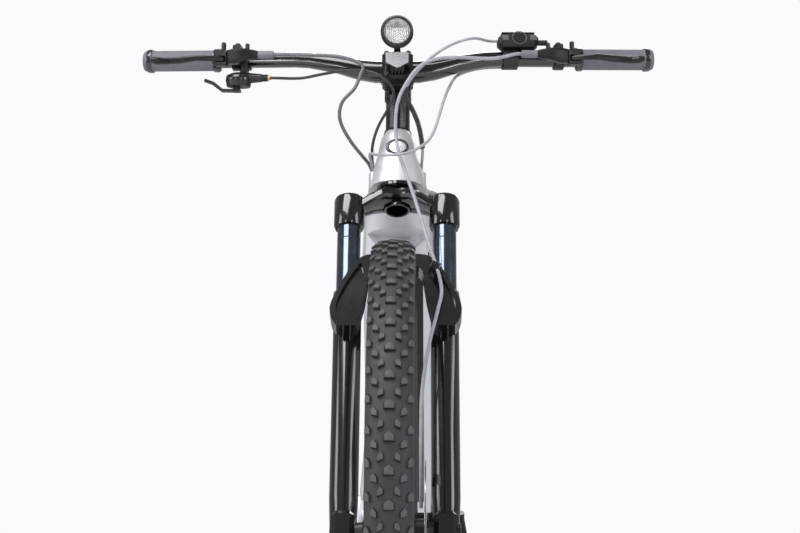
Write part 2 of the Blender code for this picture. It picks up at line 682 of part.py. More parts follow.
def make_stem():
    inner = STEERER_RADIUS + GAP
    stack = turned("headset_cover_and_spacers", [(0.0172, STEM_BASE - GAP), (0.0172, STACK_BASE),
                                                 (0.0200, STACK_BASE - 0.0020), (0.0205, HEAD_TOP + GAP),
                                                 (inner, HEAD_TOP + GAP), (inner, STEM_BASE - GAP)],
                   frame=steering, sides=16, ring=True)
    paint(stack, BLACK, 0.2, 0.45)
    rear = disc("stem", 0.0195, STEM_HEIGHT, (0, 0, STEM_MIDDLE), (0, 0, 0), steering)
    round_edges(rear, 0.002)
    arm = box("stem_arm", (0.034, STEM_LENGTH, 0.030), (0, -STEM_LENGTH / 2, STEM_MIDDLE), (0, 0, 0),
              steering,
              0.004)
    head = box("stem_head", (0.044, 0.022, 0.044), (0, -STEM_LENGTH + 0.0085, STEM_MIDDLE), (0, 0, 0),
               steering,
               0.004)
    split = box("stem_split", (0.050, 0.050, 0.070), (0, -STEM_LENGTH - 0.025 - GAP, STEM_MIDDLE),
                (0, 0, 0),
                steering)
    clamp_bore = disc("clamp_bore", CLAMP_RADIUS + GAP, 0.1, (0, -STEM_LENGTH, STEM_MIDDLE), ALONG_X,
                      steering)
    steerer_bore = disc("stem_steerer_bore", inner, 0.1, (0, 0, STEM_MIDDLE), (0, 0, 0), steering)
    join(rear, arm, head)
    cut(rear, clamp_bore, steerer_bore, split)
    paint(rear, BLACK, 0.3, 0.35)
    cap = turned("stem_top_cap", [(0, STEM_TOP + 0.0052), (0.0150, STEM_TOP + 0.0052),
                                  (0.0172, STEM_TOP + 0.0030),
                                  (0.0172, STEM_TOP + GAP), (0, STEM_TOP + GAP)], frame=steering, sides=16)
    paint(cap, BLACK, 0.3, 0.35)
    plate_ob = box("stem_faceplate", (0.044, 0.0205, 0.046), (0, -STEM_LENGTH - 0.0103 - GAP, STEM_MIDDLE),
                   (0, 0, 0), steering, 0.0045)
    face_bore = disc("faceplate_bore", CLAMP_RADIUS + GAP, 0.1, (0, -STEM_LENGTH, STEM_MIDDLE), ALONG_X,
                     steering)
    cut(plate_ob, face_bore)
    for side in (1, -1):
        for high in (1, -1):
            bolt = disc(f"faceplate_bolt_{side}_{high}", 0.0038, 0.006,
                        (side * 0.0155, -STEM_LENGTH - 0.0210, STEM_MIDDLE + high * 0.0170), FACING,
                        steering, 8)
            join(plate_ob, bolt)
    paint(plate_ob, BLACK, 0.3, 0.35)


make_stem()


# Cockpit, in level axes from the centre of the bar clamp
BAR_HALF = [(0, 0, 0), (0.030, 0, 0), (0.052, 0.001, 0.003), (0.085, 0.003, 0.0115), (0.125, 0.007, 0.0185),
            (0.145, 0.0098, 0.0200)]
BAR_SWEEP = 0.0343
BAR_LIFT = 0.0055
GRIP_START = BAR_HALF_WIDTH - GRIP_LENGTH


def bar_point(x):
    """Centre of the bar on its straight outer stretch, x metres out from the middle."""
    bend = BAR_HALF[-1]
    share = (abs(x) - bend[0]) / (BAR_HALF_WIDTH - bend[0])
    return Vector((x, bend[1] + BAR_SWEEP * share, bend[2] + BAR_LIFT * share))


def hand(side):
    """Frame at the grip's inner end, with X along the bar."""
    run = bar_point(BAR_HALF_WIDTH) - bar_point(GRIP_START)
    yaw = math.atan2(run.y, run.x)
    rise = math.atan2(run.z, run.x)
    tag = "left" if side > 0 else "right"
    return guide("hand_" + tag, bar_point(side * GRIP_START), (0, -side * rise, side * yaw), cockpit)


def make_bar():
    end = bar_point(BAR_HALF_WIDTH)
    half = [Vector(p) for p in BAR_HALF] + [end]
    points = [Vector((-p.x, p.y, p.z)) for p in reversed(half[1:])] + half
    thick = [CLAMP_RADIUS, CLAMP_RADIUS, CLAMP_RADIUS * 0.93, CLAMP_RADIUS * 0.80, BAR_RADIUS * 1.02,
             BAR_RADIUS,
             BAR_RADIUS]
    scales = [r / CLAMP_RADIUS for r in thick[:0:-1] + thick]
    bar = tube("handlebar", points, CLAMP_RADIUS, frame=cockpit, sides=12, scales=scales)
    paint(bar, GLOSS_BLACK, 0.0, 0.18)


make_bar()
HANDS = {1: hand(1), -1: hand(-1)}


def make_grip(side, tag):
    length = (bar_point(BAR_HALF_WIDTH) - bar_point(GRIP_START)).length
    flange = GRIP_RADIUS + 0.0010
    start = 0.0
    profile = [(0, length + 0.0040), (GRIP_RADIUS - 0.0015, length + 0.0040),
               (flange + 0.0004, length - 0.002),
               (flange + 0.0004, length - 0.009), (GRIP_RADIUS, length - 0.010),
               (GRIP_RADIUS, start + 0.009),
               (flange, start + 0.006), (flange, start), (BAR_RADIUS + GAP, start),
               (BAR_RADIUS + GAP, length + GAP), (0, length + GAP)]
    grip = turned("grip_" + tag, profile, (0, 0, 0), (0, side * math.pi / 2, 0), HANDS[side], sides=16)
    return paint(grip, RUBBER, 0.0, 0.8)


def make_brake(side, tag):
    """Master cylinder with its bar clamp, bolts and hose boot, and the lever that turns in it."""
    frame = HANDS[side]
    body = swept(f"brake_master_{tag}", [((-side * 0.010, -0.0265, -0.0020), 0.0090, 0.0095),
                                         ((-side * 0.030, -0.0262, 0.0005), 0.0098, 0.0115),
                                         ((-side * 0.045, -0.0255, 0.0030), 0.0085, 0.0090),
                                         ((-side * 0.060, -0.0240, 0.0030), 0.0062, 0.0062),
                                         ((-side * 0.064, -0.0238, 0.0030), 0.0045, 0.0045)],
                 frame=frame, count=8, side=(0, 1, 0), power=3.0)
    clamp = disc(f"brake_clamp_{tag}", BAR_RADIUS + 0.0045, 0.013, (-side * 0.027, 0, 0), ALONG_X, frame,
                 12)
    bridge = box(f"brake_bridge_{tag}", (0.013, 0.024, 0.016), (-side * 0.027, -0.0160, 0.0010), (0, 0, 0),
                 frame,
                 0.002)
    ears = box(f"brake_ears_{tag}", (0.013, 0.012, 0.010), (-side * 0.027, -0.004, 0.0165), (0, 0, 0),
               frame, 0.0015)
    cap_a = disc(f"brake_bolt_a_{tag}", 0.0036, 0.014, (-side * 0.012, -0.0260, 0.0120), (0, 0, 0), frame,
                 8)
    cap_b = disc(f"brake_bolt_b_{tag}", 0.0032, 0.010, (-side * 0.046, -0.0230, 0.0130), (0, 0, 0), frame,
                 8)
    yoke = box(f"brake_yoke_{tag}", (0.018, 0.018, 0.022), (-side * 0.0105, -0.0345, -0.0040), (0, 0, 0),
               frame,
               0.002)
    slot = box(f"lever_slot_{tag}", (0.060, 0.030, 0.0092), (side * 0.0110, -0.0440, -0.0060), (0, 0, 0),
               frame)
    bar_bore = disc(f"brake_bar_bore_{tag}", BAR_RADIUS + GAP, 0.2, (0, 0, 0), ALONG_X, frame, 20)
    boot = ring_part(f"hose_boot_{tag}", 0.0052, HOSE_RADIUS + GAP, -0.084, -0.0620, frame,
                     (0, -0.0238, 0.0030),
                     (0, side * math.pi / 2, 0), 10)
    join(body, clamp, bridge, ears, cap_a, cap_b, yoke, boot)
    cut(body, slot, bar_bore)
    paint(body, BLACK, 0.3, 0.3)
    pivot = (-side * 0.0105, -0.0385, -0.0060)
    blade = swept(f"brake_lever_{tag}", [((-side * 0.0040, 0.0000, 0), 0.0040, 0.0043),
                                         ((side * 0.0100, -0.0080, 0.0000), 0.0040, 0.0042),
                                         ((side * 0.0300, -0.0140, -0.0005), 0.0035, 0.0046),
                                         ((side * 0.0520, -0.0150, -0.0030), 0.0034, 0.0052),
                                         ((side * 0.0750, -0.0190, -0.0055), 0.0036, 0.0052),
                                         ((side * 0.0880, -0.0240, -0.0060), 0.0042, 0.0054)],
                  frame=frame, side=(0, 1, 0), power=2.6)
    blade.location = pivot
    paint(blade, BLACK, 0.5, 0.3)


for side, tag in ((1, "left"), (-1, "right")):
    make_grip(side, tag)
    make_brake(side, tag)


def make_shifter():
    """Rear shifter below the rider's right side of the bar: a domed pod and its thumb paddle."""
    frame = HANDS[-1]
    pod = turned("shifter_pod", [(0, 0.0085), (0.0120, 0.0080), (0.0175, 0.0050), (0.0185, -0.0020),
                                 (0.0170, -0.0105), (0, -0.0115)], (0.0330, -0.016, -0.0310), (0, 0, 0),
                                 frame,
                 sides=20)
    nose = disc("shifter_nose", 0.0085, 0.026, (0.0540, -0.016, -0.0290), ALONG_X, frame, 12, 0.0058)
    stalk = box("shifter_stalk", (0.011, 0.014, 0.026), (0.0390, -0.008, -0.0180), (0, 0, 0), frame, 0.002)
    band = disc("shifter_band", BAR_RADIUS + 0.0042, 0.011, (0.0400, 0, 0), ALONG_X, frame, 16)
    bore = disc("shifter_bar_bore", BAR_RADIUS + GAP, 0.2, (0, 0, 0), ALONG_X, frame, 20)
    brake_room = box("shifter_brake_room", (0.03, 0.03, 0.03), (0.0400, -0.031, 0.003), (0, 0, 0), frame)
    barrel = ring_part("barrel_adjuster", 0.0045, CABLE_RADIUS + GAP, 0.0660, 0.0760, frame,
                       (0, -0.016, -0.0290), ALONG_X, 10)
    join(pod, nose, stalk, band, barrel)
    cut(pod, bore, brake_room)
    paint(pod, BLACK, 0.0, 0.35)
    paddle = swept("shift_paddle", [((0.0060, 0, 0), 0.0070, 0.0022),
                                    ((-0.0200, -0.0010, 0.0005), 0.0060, 0.0026),
                                    ((-0.0340, -0.0020, 0.0110), 0.0062, 0.0026),
                                    ((-0.0460, -0.0040, 0.0150), 0.0066, 0.0026)],
                   frame=frame, side=(0, 1, 0), power=3.0)
    paddle.location = (0.0300, -0.016, -0.0475)
    boss = disc("paddle_boss", 0.0055, 0.0067, (0.0300, -0.016, -0.0428 - 0.00335), (0, 0, 0), frame, 10)
    join(paddle, boss)
    paint(paddle, BLACK, 0.0, 0.45)


def make_remote():
    """Display and assist switch on the rider's left, hooked over the bar, with its thumb button."""
    frame = guide("remote_frame", bar_point(REMOTE_PLACE), HANDS[1].rotation_euler, cockpit)
    band = disc("assist_remote", BAR_RADIUS + 0.0042, 0.021, (0, 0, 0), ALONG_X, frame, 16)
    shell = box("remote_shell", (0.058, 0.030, 0.022), (0.012, -0.004, 0.0235), (math.radians(-18), 0, 0),
                frame,
                0.007)
    bore = disc("remote_bar_bore", BAR_RADIUS + GAP, 0.1, (0, 0, 0), ALONG_X, frame, 20)
    gland = disc("remote_gland", 0.0040, 0.016, (0.046, -0.008, 0.0225), ALONG_X, frame, 10)
    lean = math.radians(18)
    outward = Vector((0, -math.cos(lean), math.sin(lean)))
    face = Vector((0.012, -0.004, 0.0235)) + outward * 0.015
    button_turn = (math.radians(90) - lean, 0, 0)
    well = disc("button_well", 0.0085 + GAP * 2, 0.0090, face, button_turn, frame, 14)
    join(band, shell, gland)
    cut(band, bore, well)
    paint(band, BLACK, 0.0, 0.4)
    button = disc("remote_button", 0.0085, 0.0045, face - outward * 0.00075, button_turn, frame, 14)
    paint(button, BLACK, 0.0, 0.25)


def make_light():
    """Headlight on a bracket above the stem, over a prism reflector."""
    high = 0.0463
    ahead = -0.046
    bracket_ob = box("light_bracket", (0.034, 0.010, 0.014), (0, -0.0300, 0.0105), (0, 0, 0), cockpit,
                     0.002)
    post = box("light_post", (0.011, 0.012, 0.0130), (0, -0.0345, 0.0165), (0, 0, 0), cockpit, 0.0015)
    comb = box("light_comb", (0.019, 0.008, 0.012), (0, -0.0338, 0.0010), (0, 0, 0), cockpit)
    tongue = box("light_tongue", (0.020, 0.022, 0.012), (0, -0.0240, 0.0105), (0, 0, 0), cockpit)
    join(bracket_ob, post, comb, tongue)
    cut(bracket_ob, box("faceplate_room", (0.060, 0.0205 + 2 * GAP, 0.046 + 2 * GAP),
                        (0, -STEM_LENGTH - 0.0103 - GAP, STEM_MIDDLE), (0, 0, 0), steering))
    for k in range(4):
        join(bracket_ob, box(f"comb_tooth_{k}", (0.0024, 0.007, 0.007),
                             (-0.0072 + 0.0048 * k, -0.0342, -0.0050),
                             (0, 0, 0), cockpit))
    paint(bracket_ob, BLACK, 0.0, 0.45)
    half = LIGHT_RADIUS
    front = LIGHT_LENGTH * 0.45
    back = -LIGHT_LENGTH * 0.55
    profile = [(0, front - 0.006), (half * 0.80, front - 0.006), (half * 0.80, front), (half * 0.90, front),
               (half * 0.98, front - 0.005), (half * 0.98, front - 0.016), (half * 0.80, front - 0.020),
               (half * 0.62, back + 0.004), (half * 0.40, back), (0, back)]
    light = turned("headlight", profile, (0, ahead, high), (math.pi / 2, 0, 0), cockpit, sides=20)
    for k in range(8):
        angle = 2 * math.pi * (k + 0.5) / 8
        fin = box(f"light_fin_{k}", (0.0018, 0.0100, 0.0030),
                  (half * 0.975 * math.cos(angle), ahead - front + 0.011,
                   high + half * 0.975 * math.sin(angle)),
                  (0, -angle - math.pi / 2, 0), cockpit)
        join(light, fin)
    foot = box("light_foot", (0.009, 0.0060, 0.0100), (0, ahead + 0.0100, 0.0320), (0, 0, 0), cockpit)
    knuckle = disc("light_knuckle", 0.0045, 0.0090, (0, ahead + 0.0100, 0.0230 + GAP + 0.0045), ALONG_X,
                   cockpit, 12)
    join(light, foot, knuckle)
    paint(light, BLACK, 0.0, 0.35)
    lens = turned("headlight_lens", [(0, front + 0.001), (half * 0.45, front + 0.0005),
                                     (half * 0.79, front - 0.002),
                                     (half * 0.79, front - 0.006 + GAP), (0, front - 0.006 + GAP)],
                  (0, ahead, high), (math.pi / 2, 0, 0), cockpit, sides=20)
    paint(lens, (0.8, 0.82, 0.84), 0.0, 0.05)
    outline = [(-0.0160, 0.0100), (-0.0160, -0.0030), (-0.0060, -0.0085), (0, -0.0112), (0.0060, -0.0085),
               (0.0160, -0.0030), (0.0160, 0.0100), (0, 0.0108)]
    reflector = plate("front_reflector", [outline], 0.007, (0, -0.0405 - 0.0035 - GAP, 0.0085),
                      (math.pi / 2, 0, 0), cockpit)
    paint(reflector, (0.7, 0.71, 0.73), 0.2, 0.2)


make_shifter()
make_remote()
make_light()


# Frame, in level axes
def down_tube_ends():
    top = STEER_FOOT + UP * (HEAD_BOTTOM + 0.036) - FORE * 0.006
    bottom = BRACKET + Vector((0, -0.094, 0.067))
    return top, bottom


def head_stations(grow=0.0):
    """(height up the steering line, half width, half depth) of the bell-shaped head tube."""
    low = HEAD_BOTTOM
    high = HEAD_TOP
    rows = [(low, 0.0385, 0.0300), (low + 0.012, 0.0378, 0.0300), (low + 0.030, 0.0350, 0.0292),
            (low + 0.052, 0.0288, 0.0275), (low + 0.072, 0.0255, 0.0252), (high - 0.007, 0.0228, 0.0232),
            (high, 0.0190, 0.0200)]
    return [((0, 0, h), a + grow, b + grow) for h, a, b in rows]


def head_shape(name, grow=0.0):
    rows = [oval(Vector(c), Vector((1, 0, 0)), Vector((0, 1, 0)), a, b, 16, 2.3)
            for c, a, b in head_stations(grow)]
    return loft(name, rows, frame=steering_at_rest)


def make_head_tube():
    head = head_shape("head_tube")
    for side in (1, -1):
        rim_of_port = round_hull([(0, -0.0070, 0.0068), (0, 0.0070, 0.0068)], 12)
        inside_port = round_hull([(0, -0.0070, 0.0046), (0, 0.0070, 0.0046)], 12)
        port = meshed(plate(f"port_{side}", [rim_of_port], 0.026,
                            (side * PORT_X, PORT_BACK, HEAD_BOTTOM + 0.013),
                            frame=steering_at_rest))
        hole = meshed(plate(f"port_hole_{side}", [inside_port], 0.040,
                            (side * PORT_X, PORT_BACK, HEAD_BOTTOM + 0.030), frame=steering_at_rest))
        join(head, port)
        cut(head, hole)
    wide = STEERER_BASE_RADIUS + 0.0015
    slim = STEERER_RADIUS + 0.0015
    bore = turned("head_bore", [(0, HEAD_TOP + 0.01), (slim, HEAD_TOP + 0.01), (slim, HEAD_BOTTOM + 0.058),
                                (wide, HEAD_BOTTOM + 0.028), (wide, HEAD_BOTTOM - 0.01),
                                (0, HEAD_BOTTOM - 0.01)],
                  frame=steering_at_rest, sides=16)
    cut(head, bore)
    return paint(head, SILVER, 0.6, 0.25)


def on_tube(share):
    top, bottom = down_tube_ends()
    return top + (bottom - top) * share


def down_stations():
    half = DOWN_TUBE_WIDTH / 2
    deep = DOWN_TUBE_DEPTH / 2
    return [(on_tube(0.0), 0.0335, 0.0270), (on_tube(0.08) + UP * 0.010, 0.0430, 0.0295),
            (on_tube(0.14) + UP * 0.014, 0.0490, 0.0305), (on_tube(0.22) + UP * 0.007, half, 0.0350),
            (on_tube(0.32), half, deep), (on_tube(0.85), half, deep), (on_tube(1.0), half * 0.90, deep)]


def tray_stations(inset=0.0):
    """The battery's bay, sunk into the underside of the down tube."""
    middle = tube_underside() * (DOWN_TUBE_DEPTH / 2)
    wide = DOWN_TUBE_WIDTH / 2 * 0.70
    deep = DOWN_TUBE_DEPTH / 2 * 0.62
    return [(on_tube(0.24 + inset) + middle, wide, deep), (on_tube(0.93 - inset) + middle, wide, deep)]


def tube_underside():
    top, bottom = down_tube_ends()
    below = (bottom - top).normalized().cross(Vector((1, 0, 0)))
    return below if below.z < 0 else -below


def make_down_tube():
    tube_ob = swept("down_tube", down_stations(), count=16, power=3.4)
    head_room = head_shape("head_room_in_down_tube", GAP)
    swing = math.hypot(LEG_SPACING / 2, LEG_OFFSET) + SOCKET_RADIUS + 0.002
    crown_room = turned("crown_room", [(0, HEAD_BOTTOM + GAP), (0.0380, HEAD_BOTTOM + GAP),
                                       (0.0460, CROWN_BASE + SOCKET_RISE + 0.004),
                                       (swing, CROWN_BASE + SOCKET_RISE + 0.0015),
                                       (swing, CROWN_BASE - 0.060),
                                       (0, CROWN_BASE - 0.060)], frame=steering_at_rest, sides=24)
    tray = swept("battery_tray", tray_stations(), count=12, power=5.0)
    cut(tube_ob, head_room, crown_room, tray)
    for side in (1, -1):
        outline = round_hull([(0, -0.0070, 0.0068 + GAP), (0, 0.0070, 0.0068 + GAP)], 12)
        room = meshed(plate(f"port_room_{side}", [outline], 0.064,
                            (side * PORT_X, PORT_BACK, HEAD_BOTTOM + 0.027),
                            frame=steering_at_rest))
        cut(tube_ob, room)
    paint(tube_ob, SILVER, 0.6, 0.25)
    cover = swept("battery_cover", tray_stations(0.0010), count=12, power=5.0, grow=-GAP)
    below = tube_underside()
    outside = box("outside_of_tube", (0.30, 0.80, 0.060),
                  on_tube(0.585) + below * (DOWN_TUBE_DEPTH / 2 + 0.0290),
                  (math.atan2(below.y, -below.z), 0, 0))
    cut(cover, outside)
    return paint(cover, BLACK, 0.0, 0.45)


steering_at_rest = guide("head_tube_line", STEER_FOOT, (-TILT, 0, 0))
make_head_tube()
make_down_tube()


def seat_tube_shape(name, radius, low, high):
    middle = BRACKET + SEAT_LINE * (low + high) / 2
    return disc(name, radius, high - low, middle, (-math.radians(90 - SEAT_ANGLE), 0, 0))


def motor_discs(grow=0.0):
    """Discs (back, up, radius) whose hull is the motor, in level axes from the crank axis."""
    return [(0, 0, MOTOR_RADIUS + grow), (-0.074, 0.016, 0.040 + grow), (0.030, 0.030, 0.050 + grow)]


def make_frame():
    seat_foot = 0.110
    lip = SEAT_TUBE_RADIUS + 0.0055
    rise = SEAT_TUBE_LENGTH
    seat = turned("seat_tube", [(0, rise + 0.012), (lip - 0.001, rise + 0.012), (lip, rise + 0.011),
                                (lip, rise),
                                (SEAT_TUBE_RADIUS, rise - 0.001), (SEAT_TUBE_RADIUS, seat_foot),
                                (0, seat_foot)],
                  BRACKET, (-math.radians(90 - SEAT_ANGLE), 0, 0))
    bore = seat_tube_shape("seat_tube_bore", POST_RADIUS + GAP, 0.150, SEAT_TUBE_LENGTH + 0.02)
    cut(seat, bore)
    paint(seat, SILVER, 0.6, 0.25)
    front = STEER_FOOT + UP * (HEAD_TOP - 0.028) + FORE * 0.004
    back = BRACKET + SEAT_LINE * (SEAT_TUBE_LENGTH - 0.055)
    run = back - front
    half = TOP_TUBE_WIDTH / 2
    tube_ob = swept("top_tube", [(front, half * 1.02, 0.0240), (front + run * 0.15, half * 1.10, 0.0250),
                                 (front + run * 0.5, half, 0.0210),
                                 (front + run * 0.85, half * 0.80, 0.0175),
                                 (back, half * 0.76, 0.0170)], count=14, power=2.8)
    cut(tube_ob, head_shape("head_room_in_top_tube", GAP),
        seat_tube_shape("seat_room_in_top_tube", SEAT_TUBE_RADIUS + GAP, 0.2, SEAT_TUBE_LENGTH + 0.03))
    cut(tube_ob, swept("down_tube_room_in_top_tube", down_stations(), count=16, power=3.4, grow=GAP))
    paint(tube_ob, SILVER, 0.6, 0.25)
    for side in (1, -1):
        ear = box(f"collar_ear_{side}", (0.008, 0.012, 0.010), SEAT_TUBE_TOP + SEAT_LINE * 0.006
                  + Vector((side * 0.006, SEAT_TUBE_RADIUS + 0.008, 0)),
                  (-math.radians(90 - SEAT_ANGLE), 0, 0))
        join(seat, ear)
    make_motor()
    make_stays()


def cradle_outline():
    discs = [(-0.082, 0.086, 0.020), (-0.116, 0.046, 0.014), (-0.060, 0.096, 0.020), (0.026, 0.100, 0.022),
             (0.062, 0.052, 0.022), (0.072, 0.024, 0.014)]
    return round_hull(discs, 12)


def make_motor():
    """Cradle that the tubes run into, and the motor bolted up inside it."""
    hull = round_hull([(x, z, r) for x, z, r in motor_discs()], 16)
    motor = meshed(plate("motor", [hull], CRADLE_WIDTH - 0.006, BRACKET, ON_SIDE))
    round_edges(motor, 0.006, 1, 60)
    spindle_bore = disc("spindle_bore", SPINDLE_RADIUS + GAP, 0.3, BRACKET, ALONG_X)
    cut(motor, spindle_bore)
    paint(motor, BLACK, 0.0, 0.45)
    cradle = meshed(plate("motor_cradle", [cradle_outline()], CRADLE_WIDTH, BRACKET, ON_SIDE))
    room = meshed(plate("motor_room", [round_hull([(x, z, r) for x, z, r in motor_discs(GAP * 2)], 16)],
                        CRADLE_WIDTH + 0.05, BRACKET, ON_SIDE))
    below = box("below_motor", (0.2, 0.30, 0.12), BRACKET + Vector((0, -0.05, -0.050)), (0, 0, 0))
    top, bottom = down_tube_ends()
    run = bottom - top
    tube_room = swept("down_tube_room", down_stations() + [(bottom + run.normalized() * GAP * 2,
                                                            DOWN_TUBE_WIDTH / 2 * 0.90,
                                                            DOWN_TUBE_DEPTH / 2)],
                      count=16, power=3.4, grow=GAP)
    seat_room = seat_tube_shape("seat_room", SEAT_TUBE_RADIUS + GAP, 0.110 - GAP, 0.3)
    cut(cradle, room, below, tube_room, seat_room)
    return paint(cradle, SILVER, 0.6, 0.25)


def stay_stations(side, upper):
    """(point, half width, half height) down a stay, from the front of the bike to the dropout."""
    hip = REAR_HUB_WIDTH / 2
    tyre_side = TYRE_WIDTH / 2 + 0.009
    if upper:
        start = BRACKET + SEAT_LINE * (SEAT_TUBE_LENGTH - 0.075)
        rows = [((0.0085, start.y + 0.004, start.z), 0.0085, 0.0095),
                ((tyre_side * 0.9, start.y + 0.050, start.z - 0.028), 0.0085, 0.0095),
                ((tyre_side + 0.011, start.y + 0.095, start.z - 0.070), 0.0080, 0.0090),
                ((hip - 0.004, HALF_BASE - 0.085, WHEEL_RADIUS + 0.074), 0.0070, 0.0085),
                ((hip + 0.0050, HALF_BASE - 0.018, WHEEL_RADIUS + 0.020), 0.0047, 0.0120)]
    else:
        rows = [((tyre_side + 0.0040, BRACKET_BACK + 0.0870, BRACKET_HEIGHT + 0.030), 0.0072, 0.0160),
                ((tyre_side + 0.0058, BRACKET_BACK + 0.120, BRACKET_HEIGHT + 0.027), 0.0068, 0.0145),
                ((tyre_side + 0.0140, BRACKET_BACK + 0.190, BRACKET_HEIGHT + 0.030), 0.0080, 0.0120),
                ((hip - 0.0035, HALF_BASE - 0.085, WHEEL_RADIUS - 0.012), 0.0070, 0.0100),
                ((hip + 0.0050, HALF_BASE - 0.012, WHEEL_RADIUS), 0.0047, 0.0150)]
    return [((side * p[0], p[1], p[2]), a, b) for p, a, b in rows]


def make_stays():
    """Each side's seat stay and chain stay meet in the dropout that holds the rear axle."""
    hip = REAR_HUB_WIDTH / 2
    for side, tag in ((1, "left"), (-1, "right")):
        stays = swept("rear_stays_" + tag, stay_stations(side, False), count=10, power=2.6)
        discs = [(0, 0, 0.0190), (-0.030, 0.026, 0.0100), (-0.040, -0.008, 0.0110)]
        if side < 0:
            discs.append((HANGER_BACK, -HANGER_DROP, 0.0080))
        outline = round_hull(discs, 14)
        dropout = meshed(plate("dropout_plate_" + tag, [outline], 0.0100, REAR_AXLE + Vector(
            (side * (hip + 0.0052), 0, 0)), ON_SIDE))
        upper = swept("seat_stay_" + tag, stay_stations(side, True), count=10)
        join(stays, dropout, upper)
        if side > 0:
            join(stays, box("stand_mount", (0.0166, 0.038, 0.026), STAND_PIVOT - Vector((0.0158, 0, 0)),
                            (math.radians(-5), 0, 0)))
        seat_room = seat_tube_shape("seat_room_by_stay_" + tag, SEAT_TUBE_RADIUS + GAP, 0.2,
                                    SEAT_TUBE_LENGTH + 0.03)
        middle = box("middle_" + tag, (0.06, 1.5, 1.2), (-side * (0.030 - GAP / 2), 0, 0.4))
        inside = box("hub_room_" + tag, (hip, 0.10, 0.12), REAR_AXLE + Vector((side * (hip / 2 + RUN), 0,
                                                                               0)))
        axle_bore = disc("rear_axle_bore_" + tag, AXLE_RADIUS + GAP, 0.3, REAR_AXLE, ALONG_X, None, 12)
        cut(stays, seat_room, middle, inside, axle_bore)
        paint(stays, SILVER, 0.6, 0.25)
    axle = turned("rear_thru_axle", [(0, hip + 0.0150), (0.0065, hip + 0.0150), (0.0100, hip + 0.0135),
                                     (0.0100, hip + 0.0103), (AXLE_RADIUS, hip + 0.0103),
                                     (AXLE_RADIUS, -hip - 0.0105), (0, -hip - 0.0105)], REAR_AXLE, ALONG_X,
                                     sides=12)
    paint(axle, BLACK, 0.6, 0.35)
    caliper("rear_caliper", None, REAR_AXLE, math.radians(-72), REAR_ROTOR_X, 0.030, 0.038)


make_frame()


# Drive, in level axes from the crank axis
def cog_x(number):
    """Sideways place of a cog; number 0 is the smallest and outermost."""
    return -(REAR_HUB_WIDTH / 2 - 0.0080) + COG_SPACING * number


def seat_radius(teeth):
    """Radius that stays clear under the chain's inner edge."""
    return (pitch_radius(teeth) - CHAIN_HALF_HEIGHT) * math.cos(math.pi / teeth) - GAP


def make_cranks():
    """Right arm with its spindle, spider and chainring; left arm; both carry a pedal pin."""
    reach = CRANK_LENGTH
    arm_mid = STANCE + 0.0080
    pin = 0.0065
    for side, tag in ((1, "left"), (-1, "right")):
        ahead = side
        arm = swept("crank_" + tag, [((side * arm_mid, -ahead * 0.018, 0), 0.0080, 0.0130),
                                     ((side * arm_mid, 0, 0), 0.0080, 0.0165),
                                     ((side * arm_mid, ahead * 0.030, 0), 0.0078, 0.0150),
                                     ((side * (arm_mid + 0.003), ahead * reach * 0.55, 0), 0.0070, 0.0118),
                                     ((side * (arm_mid + 0.006), ahead * reach, 0), 0.0065, 0.0130),
                                     ((side * (arm_mid + 0.006), ahead * (reach + 0.014), 0), 0.0060,
                                      0.0085)],
                    bracket, count=8, power=2.6)
        far = arm_mid + 0.0120 + PEDAL_WIDTH - 0.012
        near = arm_mid + 0.0040
        stub = disc("pedal_pin_" + tag, pin, far - near, (side * (near + far) / 2, ahead * reach, 0),
                    ALONG_X,
                    bracket, 10)
        join(arm, stub)
        if side < 0:
            half = STANCE - GAP
            join(arm, disc("spindle", SPINDLE_RADIUS, 2 * half, (0, 0, 0), ALONG_X, bracket, 12))
            outer = seat_radius(RING_TEETH)
            ring = turned("chainring", [(outer, 0.0012), (outer, -0.0012), (outer - 0.0130, -0.0012),
                                        (outer - 0.0130, 0.0012)], (-CHAIN_LINE, 0, 0), ALONG_X, bracket,
                          sides=RING_TEETH - 6, ring=True)
            join(arm, ring)
            for k in range(4):
                angle = math.radians(45 + 90 * k)
                middle = (outer - 0.0060) / 2
                leg = box(f"spider_{k}", (0.0060, 0.0150, outer - 0.0060),
                          (-CHAIN_LINE - 0.0035, middle * math.sin(angle), middle * math.cos(angle)),
                          (-angle, 0, 0), bracket)
                join(arm, leg)
            join(arm, disc("spider_boss", 0.0200, 0.0140, (-CHAIN_LINE - 0.0100, 0, 0), ALONG_X, bracket,
                           12))
        else:
            cut(arm, disc("spindle_end", SPINDLE_RADIUS + GAP, 0.004, (STANCE, 0, 0), ALONG_X, bracket, 12))
        paint(arm, BLACK, 0.3, 0.35)
        make_pedal(side, tag, ahead * reach, arm_mid + 0.0145, pin)


